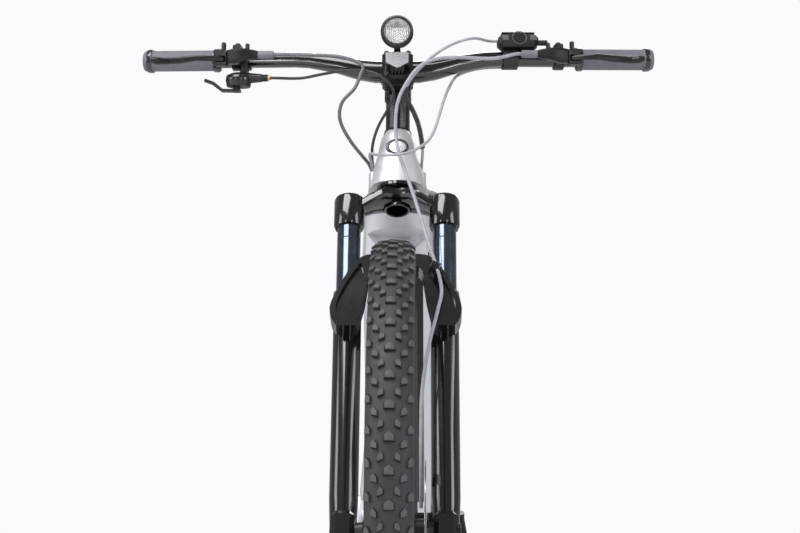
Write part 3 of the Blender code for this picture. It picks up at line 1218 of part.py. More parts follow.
def make_pedal(side, tag, along, near, pin):
    """Flat platform with two windows each side of the barrel that turns on the pedal pin."""
    width = PEDAL_WIDTH
    half = PEDAL_LENGTH / 2
    frame = guide("pedal_axis_" + tag, (side * near, along, 0), (0, 0, 0), bracket)
    edge = [(0.0, half - 0.022), (0.012, half), (width - 0.014, half), (width, half - 0.016)]
    outline = edge + [(x, -y) for x, y in reversed(edge)]
    windows = []
    for low, high in ((0.014, 0.044), (0.052, 0.084)):
        for end in (1, -1):
            windows.append([(low, end * 0.014), (high, end * 0.014), (high - 0.001, end * (half - 0.0110)),
                            (low + 0.004, end * (half - 0.0100))])
    shapes = [[(side * x, y) for x, y in shape] for shape in [outline] + windows]
    pedal = meshed(plate("pedal_" + tag, shapes, 0.0140, frame=frame))
    barrel = disc("pedal_barrel_" + tag, 0.0108, width - 0.0030, (side * width / 2, 0, 0), ALONG_X, frame,
                  14)
    bore = disc("pedal_bore_" + tag, pin + GAP, 2 * (width - 0.006), (0, 0, 0), ALONG_X, frame, 12)
    join(pedal, barrel)
    cut(pedal, bore)
    return paint(pedal, BLACK, 0.2, 0.45)


def make_cassette():
    """Stack of cogs that get larger towards the spokes, stepped at the face of each cog."""
    first = cog_x(0) - 0.0009
    last = cog_x(len(COG_TEETH) - 1) + 0.0009
    profile = []
    for k in range(len(COG_TEETH) - 1, -1, -1):
        inner_face = last if k == len(COG_TEETH) - 1 else cog_x(k + 1) - 0.0009
        profile += [(seat_radius(COG_TEETH[k]), inner_face), (seat_radius(COG_TEETH[k]), cog_x(k) - 0.0009)]
    profile += [(0.0125, first), (0.0125, last)]
    cassette = turned("cassette", profile, turn=ALONG_X, frame=rear_axle, sides=16, ring=True)
    return paint(cassette, STEEL, 1.0, 0.35)


def chain_wheels():
    """(centre, pitch radius, way round, sideways place) of each wheel on the chain's path."""
    sprocket = cog_x(USED_COG)
    guide_at = (REAR_AXLE.y + 0.012, REAR_AXLE.z - 0.098)
    lower_at = (REAR_AXLE.y - 0.022, REAR_AXLE.z - 0.164)
    pulley = pitch_radius(PULLEY_TEETH)
    return [(Vector((BRACKET.y, BRACKET.z)), pitch_radius(RING_TEETH), -1, -CHAIN_LINE),
            (Vector((REAR_AXLE.y, REAR_AXLE.z)), pitch_radius(COG_TEETH[USED_COG]), -1, sprocket),
            (Vector(guide_at), pulley, 1, sprocket), (Vector(lower_at), pulley, -1, sprocket)]


def chain_route():
    """Dense (across, back, up) points round the wheels, each with the outward normal in its plane."""
    wheels = chain_wheels()
    touches = []
    for k, (near, near_radius, near_way, _) in enumerate(wheels):
        far, far_radius, far_way = wheels[(k + 1) % len(wheels)][:3]
        gap = far - near
        step = far_way * far_radius - near_way * near_radius
        square = gap.length_squared
        straight = math.sqrt(square - step * step)
        turned_gap = Vector((-gap.y, gap.x))
        normal = (straight * turned_gap + step * gap) / square
        touches.append((near - near_way * near_radius * normal, far - far_way * far_radius * normal))
    route = []
    for k, (centre, radius, way, x) in enumerate(wheels):
        arrive = touches[k - 1][1] - centre
        leave = touches[k][0] - centre
        start = math.atan2(arrive.y, arrive.x)
        sweep = (math.atan2(leave.y, leave.x) - start) * way % (2 * math.pi) * way
        for step in range(49):
            angle = start + sweep * step / 48
            route.append(Vector((x, centre.x + radius * math.cos(angle),
                                 centre.y + radius * math.sin(angle))))
    return route + [route[0]]


def make_chain():
    """A closed band with one section at each pin; inner and outer links take turns."""
    route = chain_route()
    lengths = [0.0]
    for near, far in zip(route, route[1:]):
        lengths.append(lengths[-1] + (far - near).length)
    count = 2 * round(lengths[-1] / CHAIN_PITCH / 2)
    pins = []
    place = 0
    for k in range(count):
        want = lengths[-1] * k / count
        while lengths[place + 1] < want:
            place += 1
        share = (want - lengths[place]) / max(lengths[place + 1] - lengths[place], 1e-9)
        pins.append(route[place].lerp(route[place + 1], share))
    bm = bmesh.new()
    rows = []
    for k in range(count):
        run = pins[(k + 1) % count] - pins[k - 1]
        out = Vector((0, -run.z, run.y)).normalized() * CHAIN_HALF_HEIGHT
        wide = Vector((CHAIN_HALF_WIDTH if k % 4 < 2 else CHAIN_HALF_WIDTH * 0.7, 0, 0))
        rows.append([bm.verts.new(pins[k] + v) for v in (wide + out, wide - out, -wide - out, -wide + out)])
    for k in range(count):
        near = rows[k]
        far = rows[(k + 1) % count]
        for j in range(4):
            bm.faces.new((near[j], near[(j + 1) % 4], far[(j + 1) % 4], far[j]))
    bmesh.ops.recalc_face_normals(bm, faces=bm.faces)
    mesh = bpy.data.meshes.new("chain")
    bm.to_mesh(mesh)
    bm.free()
    return paint(put(mesh, "chain"), STEEL, 1.0, 0.3)


def make_derailleur():
    """Knuckle and parallelogram on the hanger, and the cage that holds both pulleys."""
    cog, guide_wheel, lower_wheel = chain_wheels()[1:]
    x = cog[3]
    hanger = REAR_AXLE + Vector((-REAR_HUB_WIDTH / 2 - 0.0200, HANGER_BACK, -HANGER_DROP))
    upper = Vector((x - 0.0180, guide_wheel[0].x + 0.010, guide_wheel[0].y + 0.014))
    body = swept("derailleur_body", [(hanger + Vector((0, -0.010, 0.010)), 0.0065, 0.0120),
                                     (hanger, 0.0070, 0.0150),
                                     (hanger + Vector((0, 0.0030, -0.0140)), 0.0065, 0.0130),
                                     (hanger.lerp(upper, 0.62), 0.0060, 0.0110),
                                     (upper + Vector((-0.004, 0.004, 0.004)), 0.0060, 0.0140),
                                     (upper + Vector((0, -0.008, -0.010)), 0.0065, 0.0100)], count=8,
                                     power=2.8)
    join(body, disc("hanger_bolt", 0.0070, 0.0155, hanger + Vector((0.00205 - GAP, 0, 0)), ALONG_X, None,
                    10))
    paint(body, BLACK, 0.3, 0.35)
    frame = guide("cage_axis", (x, guide_wheel[0].x, guide_wheel[0].y))
    low = lower_wheel[0] - guide_wheel[0]
    outline = round_hull([(0, 0, 0.0125), (low.x, low.y, 0.0125)], 12)
    cage = meshed(plate("derailleur_cage", [outline], 0.0020, (-0.0050, 0, 0), ON_SIDE, frame))
    inner_plate = meshed(plate("cage_inner_plate", [outline], 0.0020, (0.0050, 0, 0), ON_SIDE, frame))
    join(cage, inner_plate)
    for name, place in (("guide_pulley", Vector((0, 0))), ("lower_pulley", low)):
        join(cage, turned(name, [(0, 0.0045), (0.0060, 0.0045), (0.0060, 0.0011),
                                 (seat_radius(PULLEY_TEETH), 0.0011),
                                 (seat_radius(PULLEY_TEETH), -0.0011), (0.0060, -0.0011), (0.0060, -0.0045),
                                 (0, -0.0045)], (0, place.x, place.y), ALONG_X, frame, sides=PULLEY_TEETH))
    paint(cage, BLACK, 0.3, 0.35)


make_cranks()
make_cassette()
make_chain()
make_derailleur()


# Seat post, saddle and kickstand
SADDLE_MIDDLE = Vector((0, 0.290, SADDLE_TOP))
SADDLE_ROWS = [(0.000, 0.0110, -0.020, 0.009), (0.030, 0.0175, -0.012, 0.014),
               (0.120, 0.0210, -0.0080, 0.018),
               (0.300, 0.0240, -0.0070, 0.021), (0.480, 0.0330, -0.0080, 0.024),
               (0.640, 0.0530, -0.0070, 0.029),
               (0.780, 0.0700, -0.0040, 0.033), (0.880, 0.0740, -0.0010, 0.034),
               (0.960, 0.0690, 0.0000, 0.030),
               (1.000, 0.0560, -0.0060, 0.020)]


def saddle_section(share, half, top, deep):
    """One slice of the cushion: crowned top with a centre channel, skirt, and a flat underside."""
    y = SADDLE_MIDDLE.y + SADDLE_LENGTH * (share - 0.5)
    scale = SADDLE_WIDTH / 0.148
    points = []
    for k in range(13):
        angle = math.pi * k / 12
        across = half * scale * math.cos(angle)
        bulge = math.sin(angle) ** 0.75
        dip = 0.0045 * math.exp(-(across / 0.010) ** 2) * math.sin(math.pi * min(max(share, 0.05), 0.97))
        points.append(Vector((across, y, SADDLE_TOP + top - deep * (1 - bulge) - dip)))
    for across in (-0.80, -0.30, 0.30, 0.80):
        points.append(Vector((half * scale * across, y, SADDLE_TOP + top - deep * 1.25)))
    return points


def make_seat():
    lean = (-math.radians(90 - SEAT_ANGLE), 0, 0)
    head_at = BRACKET + SEAT_LINE * (SADDLE_TOP - 0.063 - BRACKET.z) / SEAT_LINE.z
    foot = SEAT_TUBE_LENGTH - 0.150
    high = (head_at - BRACKET).length
    post = disc("seatpost", POST_RADIUS, high - foot, BRACKET + SEAT_LINE * (high + foot) / 2, lean, None)
    head = box("seatpost_head", (0.056, 0.040, 0.024), head_at + Vector((0, 0.004, 0.006)), (0, 0, 0), None,
               0.003)
    join(post, head)
    rail_z = head_at.z + 0.0090
    for side in (1, -1):
        cut(post, disc(f"rail_groove_{side}", 0.0035 + GAP, 0.2, (side * 0.0215, head_at.y, rail_z), FACING,
                       None, 10))
    paint(post, BLACK, 0.2, 0.3)
    tuck = 0.0035 + GAP
    front = SADDLE_MIDDLE.y - SADDLE_LENGTH * 0.36
    back = SADDLE_MIDDLE.y + SADDLE_LENGTH * 0.36
    half = [(0.0215, back, SADDLE_TOP - 0.0444 - tuck), (0.0215, head_at.y + 0.060, rail_z),
            (0.0215, head_at.y + 0.030, rail_z), (0.0215, head_at.y - 0.028, rail_z),
            (0.0190, head_at.y - 0.055, rail_z + 0.002), (0.0100, front + 0.010,
                                                          SADDLE_TOP - 0.0340 - tuck),
            (0.0050, front, SADDLE_TOP - 0.0315 - tuck)]
    rails = tube("saddle_rails", half + [(-x, y, z) for x, y, z in reversed(half)], 0.0035, sides=8)
    paint(rails, STEEL, 1.0, 0.3)
    saddle = loft("saddle", [saddle_section(*row) for row in SADDLE_ROWS])
    paint(saddle, BLACK, 0.0, 0.6, 50)


def make_stand():
    """Side stand on the left dropout: a tapering leg with a rubber foot, folded down."""
    pivot = guide("stand_axis", STAND_PIVOT)
    foot = Vector((STAND_FOOT_X, REAR_AXLE.y - STAND_FOOT_AHEAD, 0)) - STAND_PIVOT
    leg = swept("kickstand", [((0, -0.004, 0.012), 0.0070, 0.0120), ((0, 0, 0), 0.0072, 0.0150),
                              ((0.004, -0.004, -0.026), 0.0075, 0.0095), (foot * 0.55, 0.0065, 0.0075),
                              (foot * 0.93, 0.0060, 0.0070), (foot * 0.935, 0.0090, 0.0130),
                              (foot * 0.985, 0.0105, 0.0160), (foot, 0.0110, 0.0165)],
                pivot, count=8, side=(1, 0, 0))
    level = box("floor_under_stand", (0.3, 0.3, 0.1), foot + Vector((0, 0, -0.05)), (0, 0, 0), pivot)
    cut(leg, level)
    return paint(leg, BLACK, 0.2, 0.45)


make_seat()
make_stand()


# Cords, each smoothed from points chosen by hand
def cord(name, points, radius, colour, steps=3):
    route = smooth(points, steps)
    length = sum((b - a).length for a, b in zip(route, route[1:]))
    print(f"{name} is {length:.3f} m long, with {len(route)} points")
    return paint(tube(name, route, radius, sides=6), colour, 0.0, 0.5)


def port_point(side, back, height):
    """World place in a cable port of the head tube."""
    local = Vector((side * PORT_X, PORT_BACK + back, HEAD_BOTTOM + height))
    return STEER_FOOT + Vector((local.x, 0, 0)) + UP * local.z - FORE * local.y


def hand_point(side, local):
    return COCKPIT + HANDS_TURN[side] @ Vector(local) + bar_point(side * GRIP_START)


HANDS_TURN = {side: HANDS[side].rotation_euler.to_matrix() for side in (1, -1)}
BOOT_LEFT = [hand_point(1, (-x, -0.0238, 0.0030)) for x in (0.0670, 0.0760, 0.0850, 0.0940)]
BOOT_RIGHT = [hand_point(-1, (x, -0.0238, 0.0030)) for x in (0.0670, 0.0760, 0.0850, 0.0940)]
BARREL = [hand_point(-1, (x, -0.016, -0.0290)) for x in (0.0685, 0.0740, 0.0795, 0.0870)]
GLAND = COCKPIT + HANDS_TURN[1] @ Vector((-0.0170 - RUN, -0.006, 0.0250)) + bar_point(REMOTE_PLACE)

FRONT_HOSE = [*BOOT_LEFT, (0.134, -0.334, 1.024), (0.082, -0.348, 1.023),
              (0.050, -0.356, 1.018), (0.029, -0.362, 1.005), (0.014, -0.367, 0.984),
              (0.002, -0.371, 0.958),
              (-0.002, -0.374, 0.925), (0.001, -0.381, 0.890), (0.009, -0.392, 0.862),
              (0.020, -0.405, 0.830),
              (0.030, -0.421, 0.797), (0.040, -0.441, 0.762), (0.049, -0.458, 0.732),
              (0.057, -0.470, 0.706),
              (0.061, -0.478, 0.680), (0.055, -0.487, 0.652), (0.0455, -0.493, 0.615),
              (0.0390, -0.496, 0.580),
              (0.0345, -0.502, 0.540), (0.0335, -0.509, 0.490), (0.0335, -0.510, 0.445),
              (0.0335, -0.5020, 0.396)]
REMOTE_CABLE = [GLAND, GLAND + Vector((-0.014, -0.004, 0.000)), (0.108, -0.340, 1.052),
                (0.082, -0.346, 1.044), (0.055, -0.3500, 1.028), (0.029, -0.3500, 1.004),
                (0.014, -0.3440, 0.984),
                (0.011, -0.3400, 0.970), (0.021, -0.338, 0.951), (0.029, -0.336, 0.932),
                (0.0335, -0.333, 0.912),
                (0.0355, -0.328, 0.893), port_point(1, 0.0, 0.036), port_point(1, 0.0, 0.0185)]
SENSOR_CABLE = [(0.1478, -0.2822, 1.0217), (0.125, -0.2873, 1.0198), (0.105, -0.2892, 1.0160),
                (0.088, -0.2915, 1.0095), (0.080, -0.305, 1.000), (0.075, -0.325, 0.988),
                (0.069, -0.345, 0.972),
                (0.0625, -0.362, 0.950), (0.053, -0.376, 0.917),
                (0.043, -0.386, 0.898), (0.028, -0.393, 0.886), (0.012, -0.397, 0.879),
                (-0.008, -0.394, 0.877),
                (-0.022, -0.381, 0.8795), (-0.031, -0.362, 0.883), (-0.0375, -0.343, 0.887),
                (-0.0385, -0.331, 0.883),
                port_point(-1, -0.0065, 0.030), port_point(-1, -0.0065, 0.0185)]
REAR_HOSE = [*BOOT_RIGHT, (-0.120, -0.332, 1.030), (-0.080, -0.338, 1.026),
             (-0.050, -0.342, 1.014), (-0.052, -0.347, 0.998), (-0.060, -0.352, 0.978),
             (-0.076, -0.354, 0.960),
             (-0.081, -0.350, 0.942), (-0.077, -0.344, 0.925), (-0.064, -0.332, 0.904),
             (-0.050, -0.319, 0.888),
             (-0.0400, -0.3110, 0.876), port_point(-1, 0.0065, 0.030), port_point(-1, 0.0065, 0.0185)]
SHIFT_CABLE = [*BARREL, (-0.139, -0.306, 1.002), (-0.108, -0.314, 1.006),
               (-0.080, -0.326, 1.008), (-0.045, -0.338, 1.006), (-0.018, -0.3440, 0.994),
               (-0.005, -0.3440, 0.974),
               (-0.013, -0.338, 0.952), (-0.026, -0.334, 0.929), (-0.034, -0.330, 0.906),
               (-0.0360, -0.320, 0.886),
               port_point(-1, 0.0, 0.030), port_point(-1, 0.0, 0.0185)]

cord("front_brake_hose", FRONT_HOSE, HOSE_RADIUS, GREY)
cord("remote_cable", REMOTE_CABLE, CABLE_RADIUS, BLACK)
cord("sensor_cable", SENSOR_CABLE, CABLE_RADIUS, GREY, 2)
cord("rear_brake_hose", REAR_HOSE, HOSE_RADIUS, BLACK)
cord("shift_cable", SHIFT_CABLE, CABLE_RADIUS, BLACK, 2)


def make_wrap():
    """Spiral wrap round the remote cable between the bar and its port, wound as one open coil."""
    whole = smooth(REMOTE_CABLE, 3)
    route = whole[3 * 6:-3 * 2]
    wire = 0.0008
    pitch = 0.0090
    around = (CABLE_RADIUS + GAP * 2 + wire) / math.cos(math.pi / 8)
    lengths = [0.0]
    for near, far in zip(route, route[1:]):
        lengths.append(lengths[-1] + (far - near).length)
    turns = int((lengths[-1] - 0.004) / pitch)
    points = []
    place = 0
    side = Vector((0, 1, 0))
    for k in range(turns * 8 + 1):
        want = 0.002 + pitch * k / 8
        while lengths[place + 1] < want:
            place += 1
        run = (route[place + 1] - route[place]).normalized()
        share = (want - lengths[place]) / (lengths[place + 1] - lengths[place])
        centre = route[place].lerp(route[place + 1], share)
        side = (side - run * side.dot(run)).normalized()
        over = run.cross(side)
        angle = 2 * math.pi * k / 8
        points.append(centre + (side * math.cos(angle) + over * math.sin(angle)) * around)
    nearest = min((a - b).length for i, a in enumerate(points) for b in points[i + 5:])
    print(f"cable_wrap has {turns} turns, and its own turns are {nearest - 2 * wire:.4f} m apart")
    paint(tube("cable_wrap", points, wire, sides=4), BLACK, 0.0, 0.5)


make_wrap()
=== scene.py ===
"""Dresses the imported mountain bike: finishes, tread, chain, cables, lamp, saddle and small hardware."""
from math import atan2, cos, exp, pi, radians, sin, sqrt

import bmesh
import bpy
from mathutils import Matrix, Vector
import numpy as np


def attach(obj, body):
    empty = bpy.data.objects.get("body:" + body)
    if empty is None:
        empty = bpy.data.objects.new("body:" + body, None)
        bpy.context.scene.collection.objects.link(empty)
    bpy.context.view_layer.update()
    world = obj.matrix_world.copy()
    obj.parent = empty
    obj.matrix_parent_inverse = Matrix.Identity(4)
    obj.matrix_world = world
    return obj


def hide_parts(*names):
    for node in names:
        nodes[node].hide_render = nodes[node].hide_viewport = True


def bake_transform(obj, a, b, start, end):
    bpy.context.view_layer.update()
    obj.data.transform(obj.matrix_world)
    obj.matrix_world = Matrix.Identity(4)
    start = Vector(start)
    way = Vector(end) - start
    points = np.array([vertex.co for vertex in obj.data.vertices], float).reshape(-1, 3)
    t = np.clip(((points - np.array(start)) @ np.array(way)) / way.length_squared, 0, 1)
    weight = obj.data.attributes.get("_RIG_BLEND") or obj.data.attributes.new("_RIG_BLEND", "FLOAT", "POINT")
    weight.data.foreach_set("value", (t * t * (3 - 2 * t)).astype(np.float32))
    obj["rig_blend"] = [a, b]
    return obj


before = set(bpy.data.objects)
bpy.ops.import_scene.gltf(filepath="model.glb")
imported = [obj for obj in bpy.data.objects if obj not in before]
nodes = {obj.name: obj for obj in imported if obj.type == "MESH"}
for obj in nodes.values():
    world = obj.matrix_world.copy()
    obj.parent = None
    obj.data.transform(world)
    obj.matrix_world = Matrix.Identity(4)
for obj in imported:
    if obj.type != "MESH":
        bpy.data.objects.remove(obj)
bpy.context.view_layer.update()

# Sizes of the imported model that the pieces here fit, in metres
WHEEL_RADIUS = 0.368
HALF_WHEELBASE = 0.585
RIM_RADIUS = 0.316
RIM_DEPTH = 0.019
LEG_SPACING = 0.1315
LEG_OFFSET = 0.02
LEG_TOP = 0.352
STANCHION_RADIUS = 0.016
SOCKET_FOOT = 0.457
SOCKET_TOP = 0.505
CROWN_FOOT = 0.501
FORK_OFFSET = 0.046
BADGE_HEIGHT = 0.587
HEAD_BOTTOM = 0.5303
STACK_BASE = 0.6273
STEM_MIDDLE = 0.7013
STEM_TOP = 0.7218
STEM_LENGTH = 0.045
BAR_HALF_WIDTH = 0.3635
GRIP_START = 0.257
REMOTE_PLACE = 0.16
LIGHT_RADIUS = 0.0232
CHAIN_PITCH = 0.0127
CHAIN_LINE = 0.055
RING_TEETH = 34
COG_TEETH = (11, 13, 15, 18, 21, 24, 28, 33, 39, 46)
TILT = radians(23.5)
SEAT_ANGLE = radians(75)
SIDES = ((1, "left"), (-1, "right"))
UP = Vector((0, sin(TILT), cos(TILT)))
FORE = Vector((0, -cos(TILT), sin(TILT)))
FRONT_AXLE = Vector((0, -HALF_WHEELBASE, WHEEL_RADIUS))
REAR_AXLE = Vector((0, HALF_WHEELBASE, WHEEL_RADIUS))
STEER_FOOT = FRONT_AXLE - FORE * FORK_OFFSET
COCKPIT = STEER_FOOT + FORE * STEM_LENGTH + UP * STEM_MIDDLE
BRACKET = Vector((0, 0.129, 0.318))
SEAT_LINE = Vector((0, cos(SEAT_ANGLE), sin(SEAT_ANGLE)))
X = Vector((1, 0, 0))


def frame_of(origin, x, y, z):
    """Matrix of a frame with these axes, as columns."""
    return Matrix.Translation(origin) @ Matrix((x, y, z)).transposed().to_4x4()


def shift(x, y, z):
    """Matrix of a move."""
    return Matrix.Translation((x, y, z))


def circle(count):
    """Angles of a full turn in equal steps."""
    return [2 * pi * k / count for k in range(count)]


def on_wheel(matrix, turn, radius, x=0.0):
    """A place on a wheel at an angle and a distance from its axle."""
    return matrix @ Vector((x, radius * cos(turn), radius * sin(turn)))


STEERING = frame_of(STEER_FOOT, X, -FORE, UP)
FRONT_WHEEL = Matrix.Translation(FRONT_AXLE)
REAR_WHEEL = Matrix.Translation(REAR_AXLE)
CLAMP = Matrix.Translation(COCKPIT)
ALONG_X = Matrix.Rotation(pi / 2, 4, "Y")
ON_AXLE = frame_of((0, 0, 0), (0, 1, 0), (0, 0, 1), X)
FACING = Matrix.Rotation(pi / 2, 4, "X")


# Camera, at the photograph's angle
CAMERA_PLACE = (0.0443, -3.187, 0.441)
CAMERA_RISE = 5.76
CAMERA_TURN = 0.0142
CAMERA_LENS = 92.2
camera_data = bpy.data.cameras.new("camera")
camera = bpy.data.objects.new("camera", camera_data)
bpy.context.scene.collection.objects.link(camera)
camera_data.sensor_width = 36
camera_data.lens = CAMERA_LENS
camera.location = CAMERA_PLACE
camera.rotation_euler = (radians(90 + CAMERA_RISE), 0, CAMERA_TURN)
bpy.context.scene.camera = camera


# Materials
def node_group(name, inputs, outputs):
    """An empty shader group with named sockets; a socket is (name, type, default)."""
    group = bpy.data.node_groups.new(name, "ShaderNodeTree")
    for socket, kind, default in inputs:
        made = group.interface.new_socket(socket, in_out="INPUT", socket_type="NodeSocket" + kind)
        made.default_value = default
    for socket, kind in outputs:
        group.interface.new_socket(socket, in_out="OUTPUT", socket_type="NodeSocket" + kind)
    return group, group.nodes.new("NodeGroupInput"), group.nodes.new("NodeGroupOutput")


def add(tree, kind, **values):
    """A node with its settings, and numbers for its inputs given by name or place."""
    node = tree.nodes.new("ShaderNode" + kind)
    inputs = values.pop("inputs", {})
    for key, value in values.items():
        setattr(node, key, value)
    for key, value in inputs.items():
        if isinstance(value, bpy.types.NodeSocket):
            tree.links.new(value, node.inputs[key])
        else:
            node.inputs[key].default_value = value
    return node


def make_variation():
    """Slow colour drift, roughness patches and a fine relief, all in metres of the object's own space."""
    group, source, result = node_group(
        "surface_variation",
        [("Light", "Color", (0.5, 0.5, 0.5, 1)), ("Dark", "Color", (0.1, 0.1, 0.1, 1)),
         ("Scale", "Float", 30.0), ("Low Roughness", "Float", 0.3), ("High Roughness", "Float", 0.5),
         ("Relief Scale", "Float", 900.0)],
        [("Color", "Color"), ("Roughness", "Float"), ("Height", "Float")])
    place = add(group, "TexCoord")
    cloud = add(group, "TexNoise", inputs={
        "Vector": place.outputs["Object"], "Scale": source.outputs["Scale"], "Detail": 5.0,
        "Roughness": 0.6})
    spread = add(group, "MapRange", inputs={
        "Value": cloud.outputs["Fac"], "From Min": 0.32, "From Max": 0.68})
    mix = add(group, "Mix", data_type="RGBA", inputs={
        0: spread.outputs[0], 6: source.outputs["Dark"], 7: source.outputs["Light"]})
    rough = add(group, "MapRange", inputs={"Value": spread.outputs[0], 3: source.outputs["Low Roughness"],
                                           4: source.outputs["High Roughness"]})
    grain = add(group, "TexNoise", inputs={"Vector": place.outputs["Object"],
                                           "Scale": source.outputs["Relief Scale"], "Detail": 3.0})
    group.links.new(mix.outputs[2], result.inputs["Color"])
    group.links.new(rough.outputs[0], result.inputs["Roughness"])
    group.links.new(grain.outputs["Fac"], result.inputs["Height"])
    return group


VARIATION = make_variation()


def new_material(name):
    """A material with its node tree and its shader."""
    material = bpy.data.materials.new(name)
    material.use_nodes = True
    return material, material.node_tree, material.node_tree.nodes["Principled BSDF"]


def material(name, light, dark, rough=(0.3, 0.45), scale=30.0, metallic=0.0, relief=0.0, relief_scale=900.0,
             coat=0.0, coat_rough=0.05):
    """A surface with the shared variation; fixed numbers sit on the shader's own sockets."""
    made, tree, shader = new_material(name)
    varied = add(tree, "Group", node_tree=VARIATION, inputs={
        "Light": (*light, 1), "Dark": (*dark, 1), "Scale": scale, "Low Roughness": rough[0],
        "High Roughness": rough[1], "Relief Scale": relief_scale})
    tree.links.new(varied.outputs["Color"], shader.inputs["Base Color"])
    tree.links.new(varied.outputs["Roughness"], shader.inputs["Roughness"])
    if relief:
        bump = add(tree, "Bump", inputs={
            "Strength": 0.6, "Distance": relief, "Height": varied.outputs["Height"]})
        tree.links.new(bump.outputs[0], shader.inputs["Normal"])
    shader.inputs["Metallic"].default_value = metallic
    shader.inputs["Coat Weight"].default_value = coat
    shader.inputs["Coat Roughness"].default_value = coat_rough
    return made


silver = material("silver_paint", (0.6, 0.62, 0.65), (0.57, 0.59, 0.62), (0.36, 0.4), 9.0, 0.45,
                  relief=0.00003, relief_scale=1400.0, coat=0.3, coat_rough=0.12)
gloss_black = material("gloss_black_paint", (0.004, 0.004, 0.005), (0.003, 0.003, 0.004), (0.1, 0.18),
                       12.0, coat=0.6, coat_rough=0.03)
anodised = material("black_anodised", (0.014, 0.014, 0.015), (0.008, 0.008, 0.009), (0.26, 0.4), 60.0,
                    0.3, relief=0.00003, relief_scale=1800.0)
plastic = material("black_plastic", (0.01, 0.01, 0.011), (0.006, 0.006, 0.007), (0.38, 0.55), 80.0,
                   relief=0.00006, relief_scale=1500.0)
gloss_plastic = material("gloss_plastic", (0.016, 0.016, 0.018), (0.01, 0.01, 0.012), (0.12, 0.22),
                         50.0, relief=0.00002, coat=0.4)
rubber = material("grip_rubber", (0.15, 0.15, 0.178), (0.115, 0.115, 0.14), (0.6, 0.75), 120.0,
                  relief=0.0001, relief_scale=2200.0)
steel = material("steel", (0.5, 0.5, 0.5), (0.45, 0.45, 0.455), (0.24, 0.3), 70.0, 1.0,
                 relief=0.00002, relief_scale=1500.0)
dark_steel = material("dark_steel", (0.12, 0.12, 0.125), (0.06, 0.06, 0.065), (0.28, 0.42), 70.0, 0.9,
                      relief=0.00002, relief_scale=1500.0)
brass = material("brass", (0.62, 0.42, 0.16), (0.4, 0.26, 0.1), (0.25, 0.4), 90.0, 1.0)
leather = material("saddle_cover", (0.022, 0.022, 0.024), (0.018, 0.018, 0.02), (0.5, 0.58), 60.0,
                   relief=0.0002, relief_scale=700.0)
grey_housing = material("grey_housing", (0.36, 0.36, 0.4), (0.26, 0.26, 0.3), (0.35, 0.5), 90.0)
black_housing = material("black_housing", (0.022, 0.022, 0.025), (0.014, 0.014, 0.016), (0.3, 0.45), 90.0)
dull_housing = material("dull_housing", (0.13, 0.13, 0.15), (0.085, 0.085, 0.1), (0.3, 0.45), 90.0)
stanchion_finish = material("stanchion_finish", (0.1, 0.12, 0.17), (0.07, 0.08, 0.12), (0.1, 0.16),
                            40.0, 0.95, relief=0.00001, relief_scale=1200.0, coat=0.5)
clear = material("clear_lens", (0.8, 0.82, 0.84), (0.74, 0.76, 0.78), (0.02, 0.05), 40.0, coat=1.0)
clear.node_tree.nodes["Principled BSDF"].inputs["Alpha"].default_value = 0.14
lens_rib = material("lens_rib", (0.86, 0.87, 0.88), (0.72, 0.73, 0.74), (0.08, 0.15), 60.0, 0.3, coat=1.0)
prism_finish = material("prism_reflector", (0.66, 0.68, 0.7), (0.52, 0.54, 0.56), (0.1, 0.2), 300.0,
                        0.35, relief=0.0005, relief_scale=420.0)
mirror = material("mirror", (0.62, 0.63, 0.66), (0.46, 0.47, 0.5), (0.22, 0.3), 60.0, 0.5)
led = material("led", (0.8, 0.74, 0.4), (0.7, 0.64, 0.34), (0.2, 0.3), 90.0)
boot_grey = material("boot_grey", (0.2, 0.2, 0.23), (0.14, 0.14, 0.17), (0.5, 0.65), 90.0)
grey_panel = material("grey_panel", (0.1, 0.1, 0.105), (0.07, 0.07, 0.075), (0.35, 0.5), 40.0,
                      relief=0.00008, relief_scale=1200.0)


def make_tyre_material(name):
    """Rubber, dull on the casing, with a painted highlight on the tops of the knobs and painted shade, near
    black, round the knobs' feet.
    """
    made, tree, shader = new_material(name)
    lift = add(tree, "Attribute", attribute_name="lift")
    varied = add(tree, "Group", node_tree=VARIATION, inputs={
        "Light": (0.03, 0.029, 0.033, 1), "Dark": (0.02, 0.019, 0.022, 1), "Scale": 55.0,
        "Low Roughness": 0.5, "High Roughness": 0.72, "Relief Scale": 1600.0})
    # Painted shade: near black on the knobs' sides and feet, where the lift is low
    shade = add(tree, "MapRange", inputs={"Value": lift.outputs["Fac"], "From Min": 0.0, "From Max": 0.5})
    # Painted highlight: lighter on the knobs' tops, where the lift is high
    painted_highlight_mask = add(tree, "MapRange", inputs={"Value": lift.outputs["Fac"], "From Min": 0.5, "From Max": 1.0})
    dark = add(tree, "Mix", data_type="RGBA", inputs={0: shade.outputs[0], 6: (0.0025, 0.0022, 0.0022, 1),
                                                      7: varied.outputs["Color"]})
    painted_highlight = add(tree, "Mix", data_type="RGBA", inputs={0: painted_highlight_mask.outputs[0], 6: dark.outputs[2],
                                                       7: (0.066, 0.062, 0.063, 1)})
    tree.links.new(painted_highlight.outputs[2], shader.inputs["Base Color"])
    tree.links.new(varied.outputs["Roughness"], shader.inputs["Roughness"])
    bump = add(tree, "Bump", inputs={"Strength": 0.5, "Distance": 0.0002, "Height": varied.outputs["Height"]})
    tree.links.new(bump.outputs[0], shader.inputs["Normal"])
    return made


# Shapes, added to a mesh in the frame that a matrix gives
def skin(bm, rows, ends=(0, -1)):
    """Faces from each loop of points to the next, and over the loops that are ends."""
    for near, far in zip(rows, rows[1:]):
        for j in range(len(near)):
            i = (j + 1) % len(near)
            bm.faces.new((near[j], near[i], far[i], far[j]))
    for end in ends:
        bm.faces.new(rows[end])


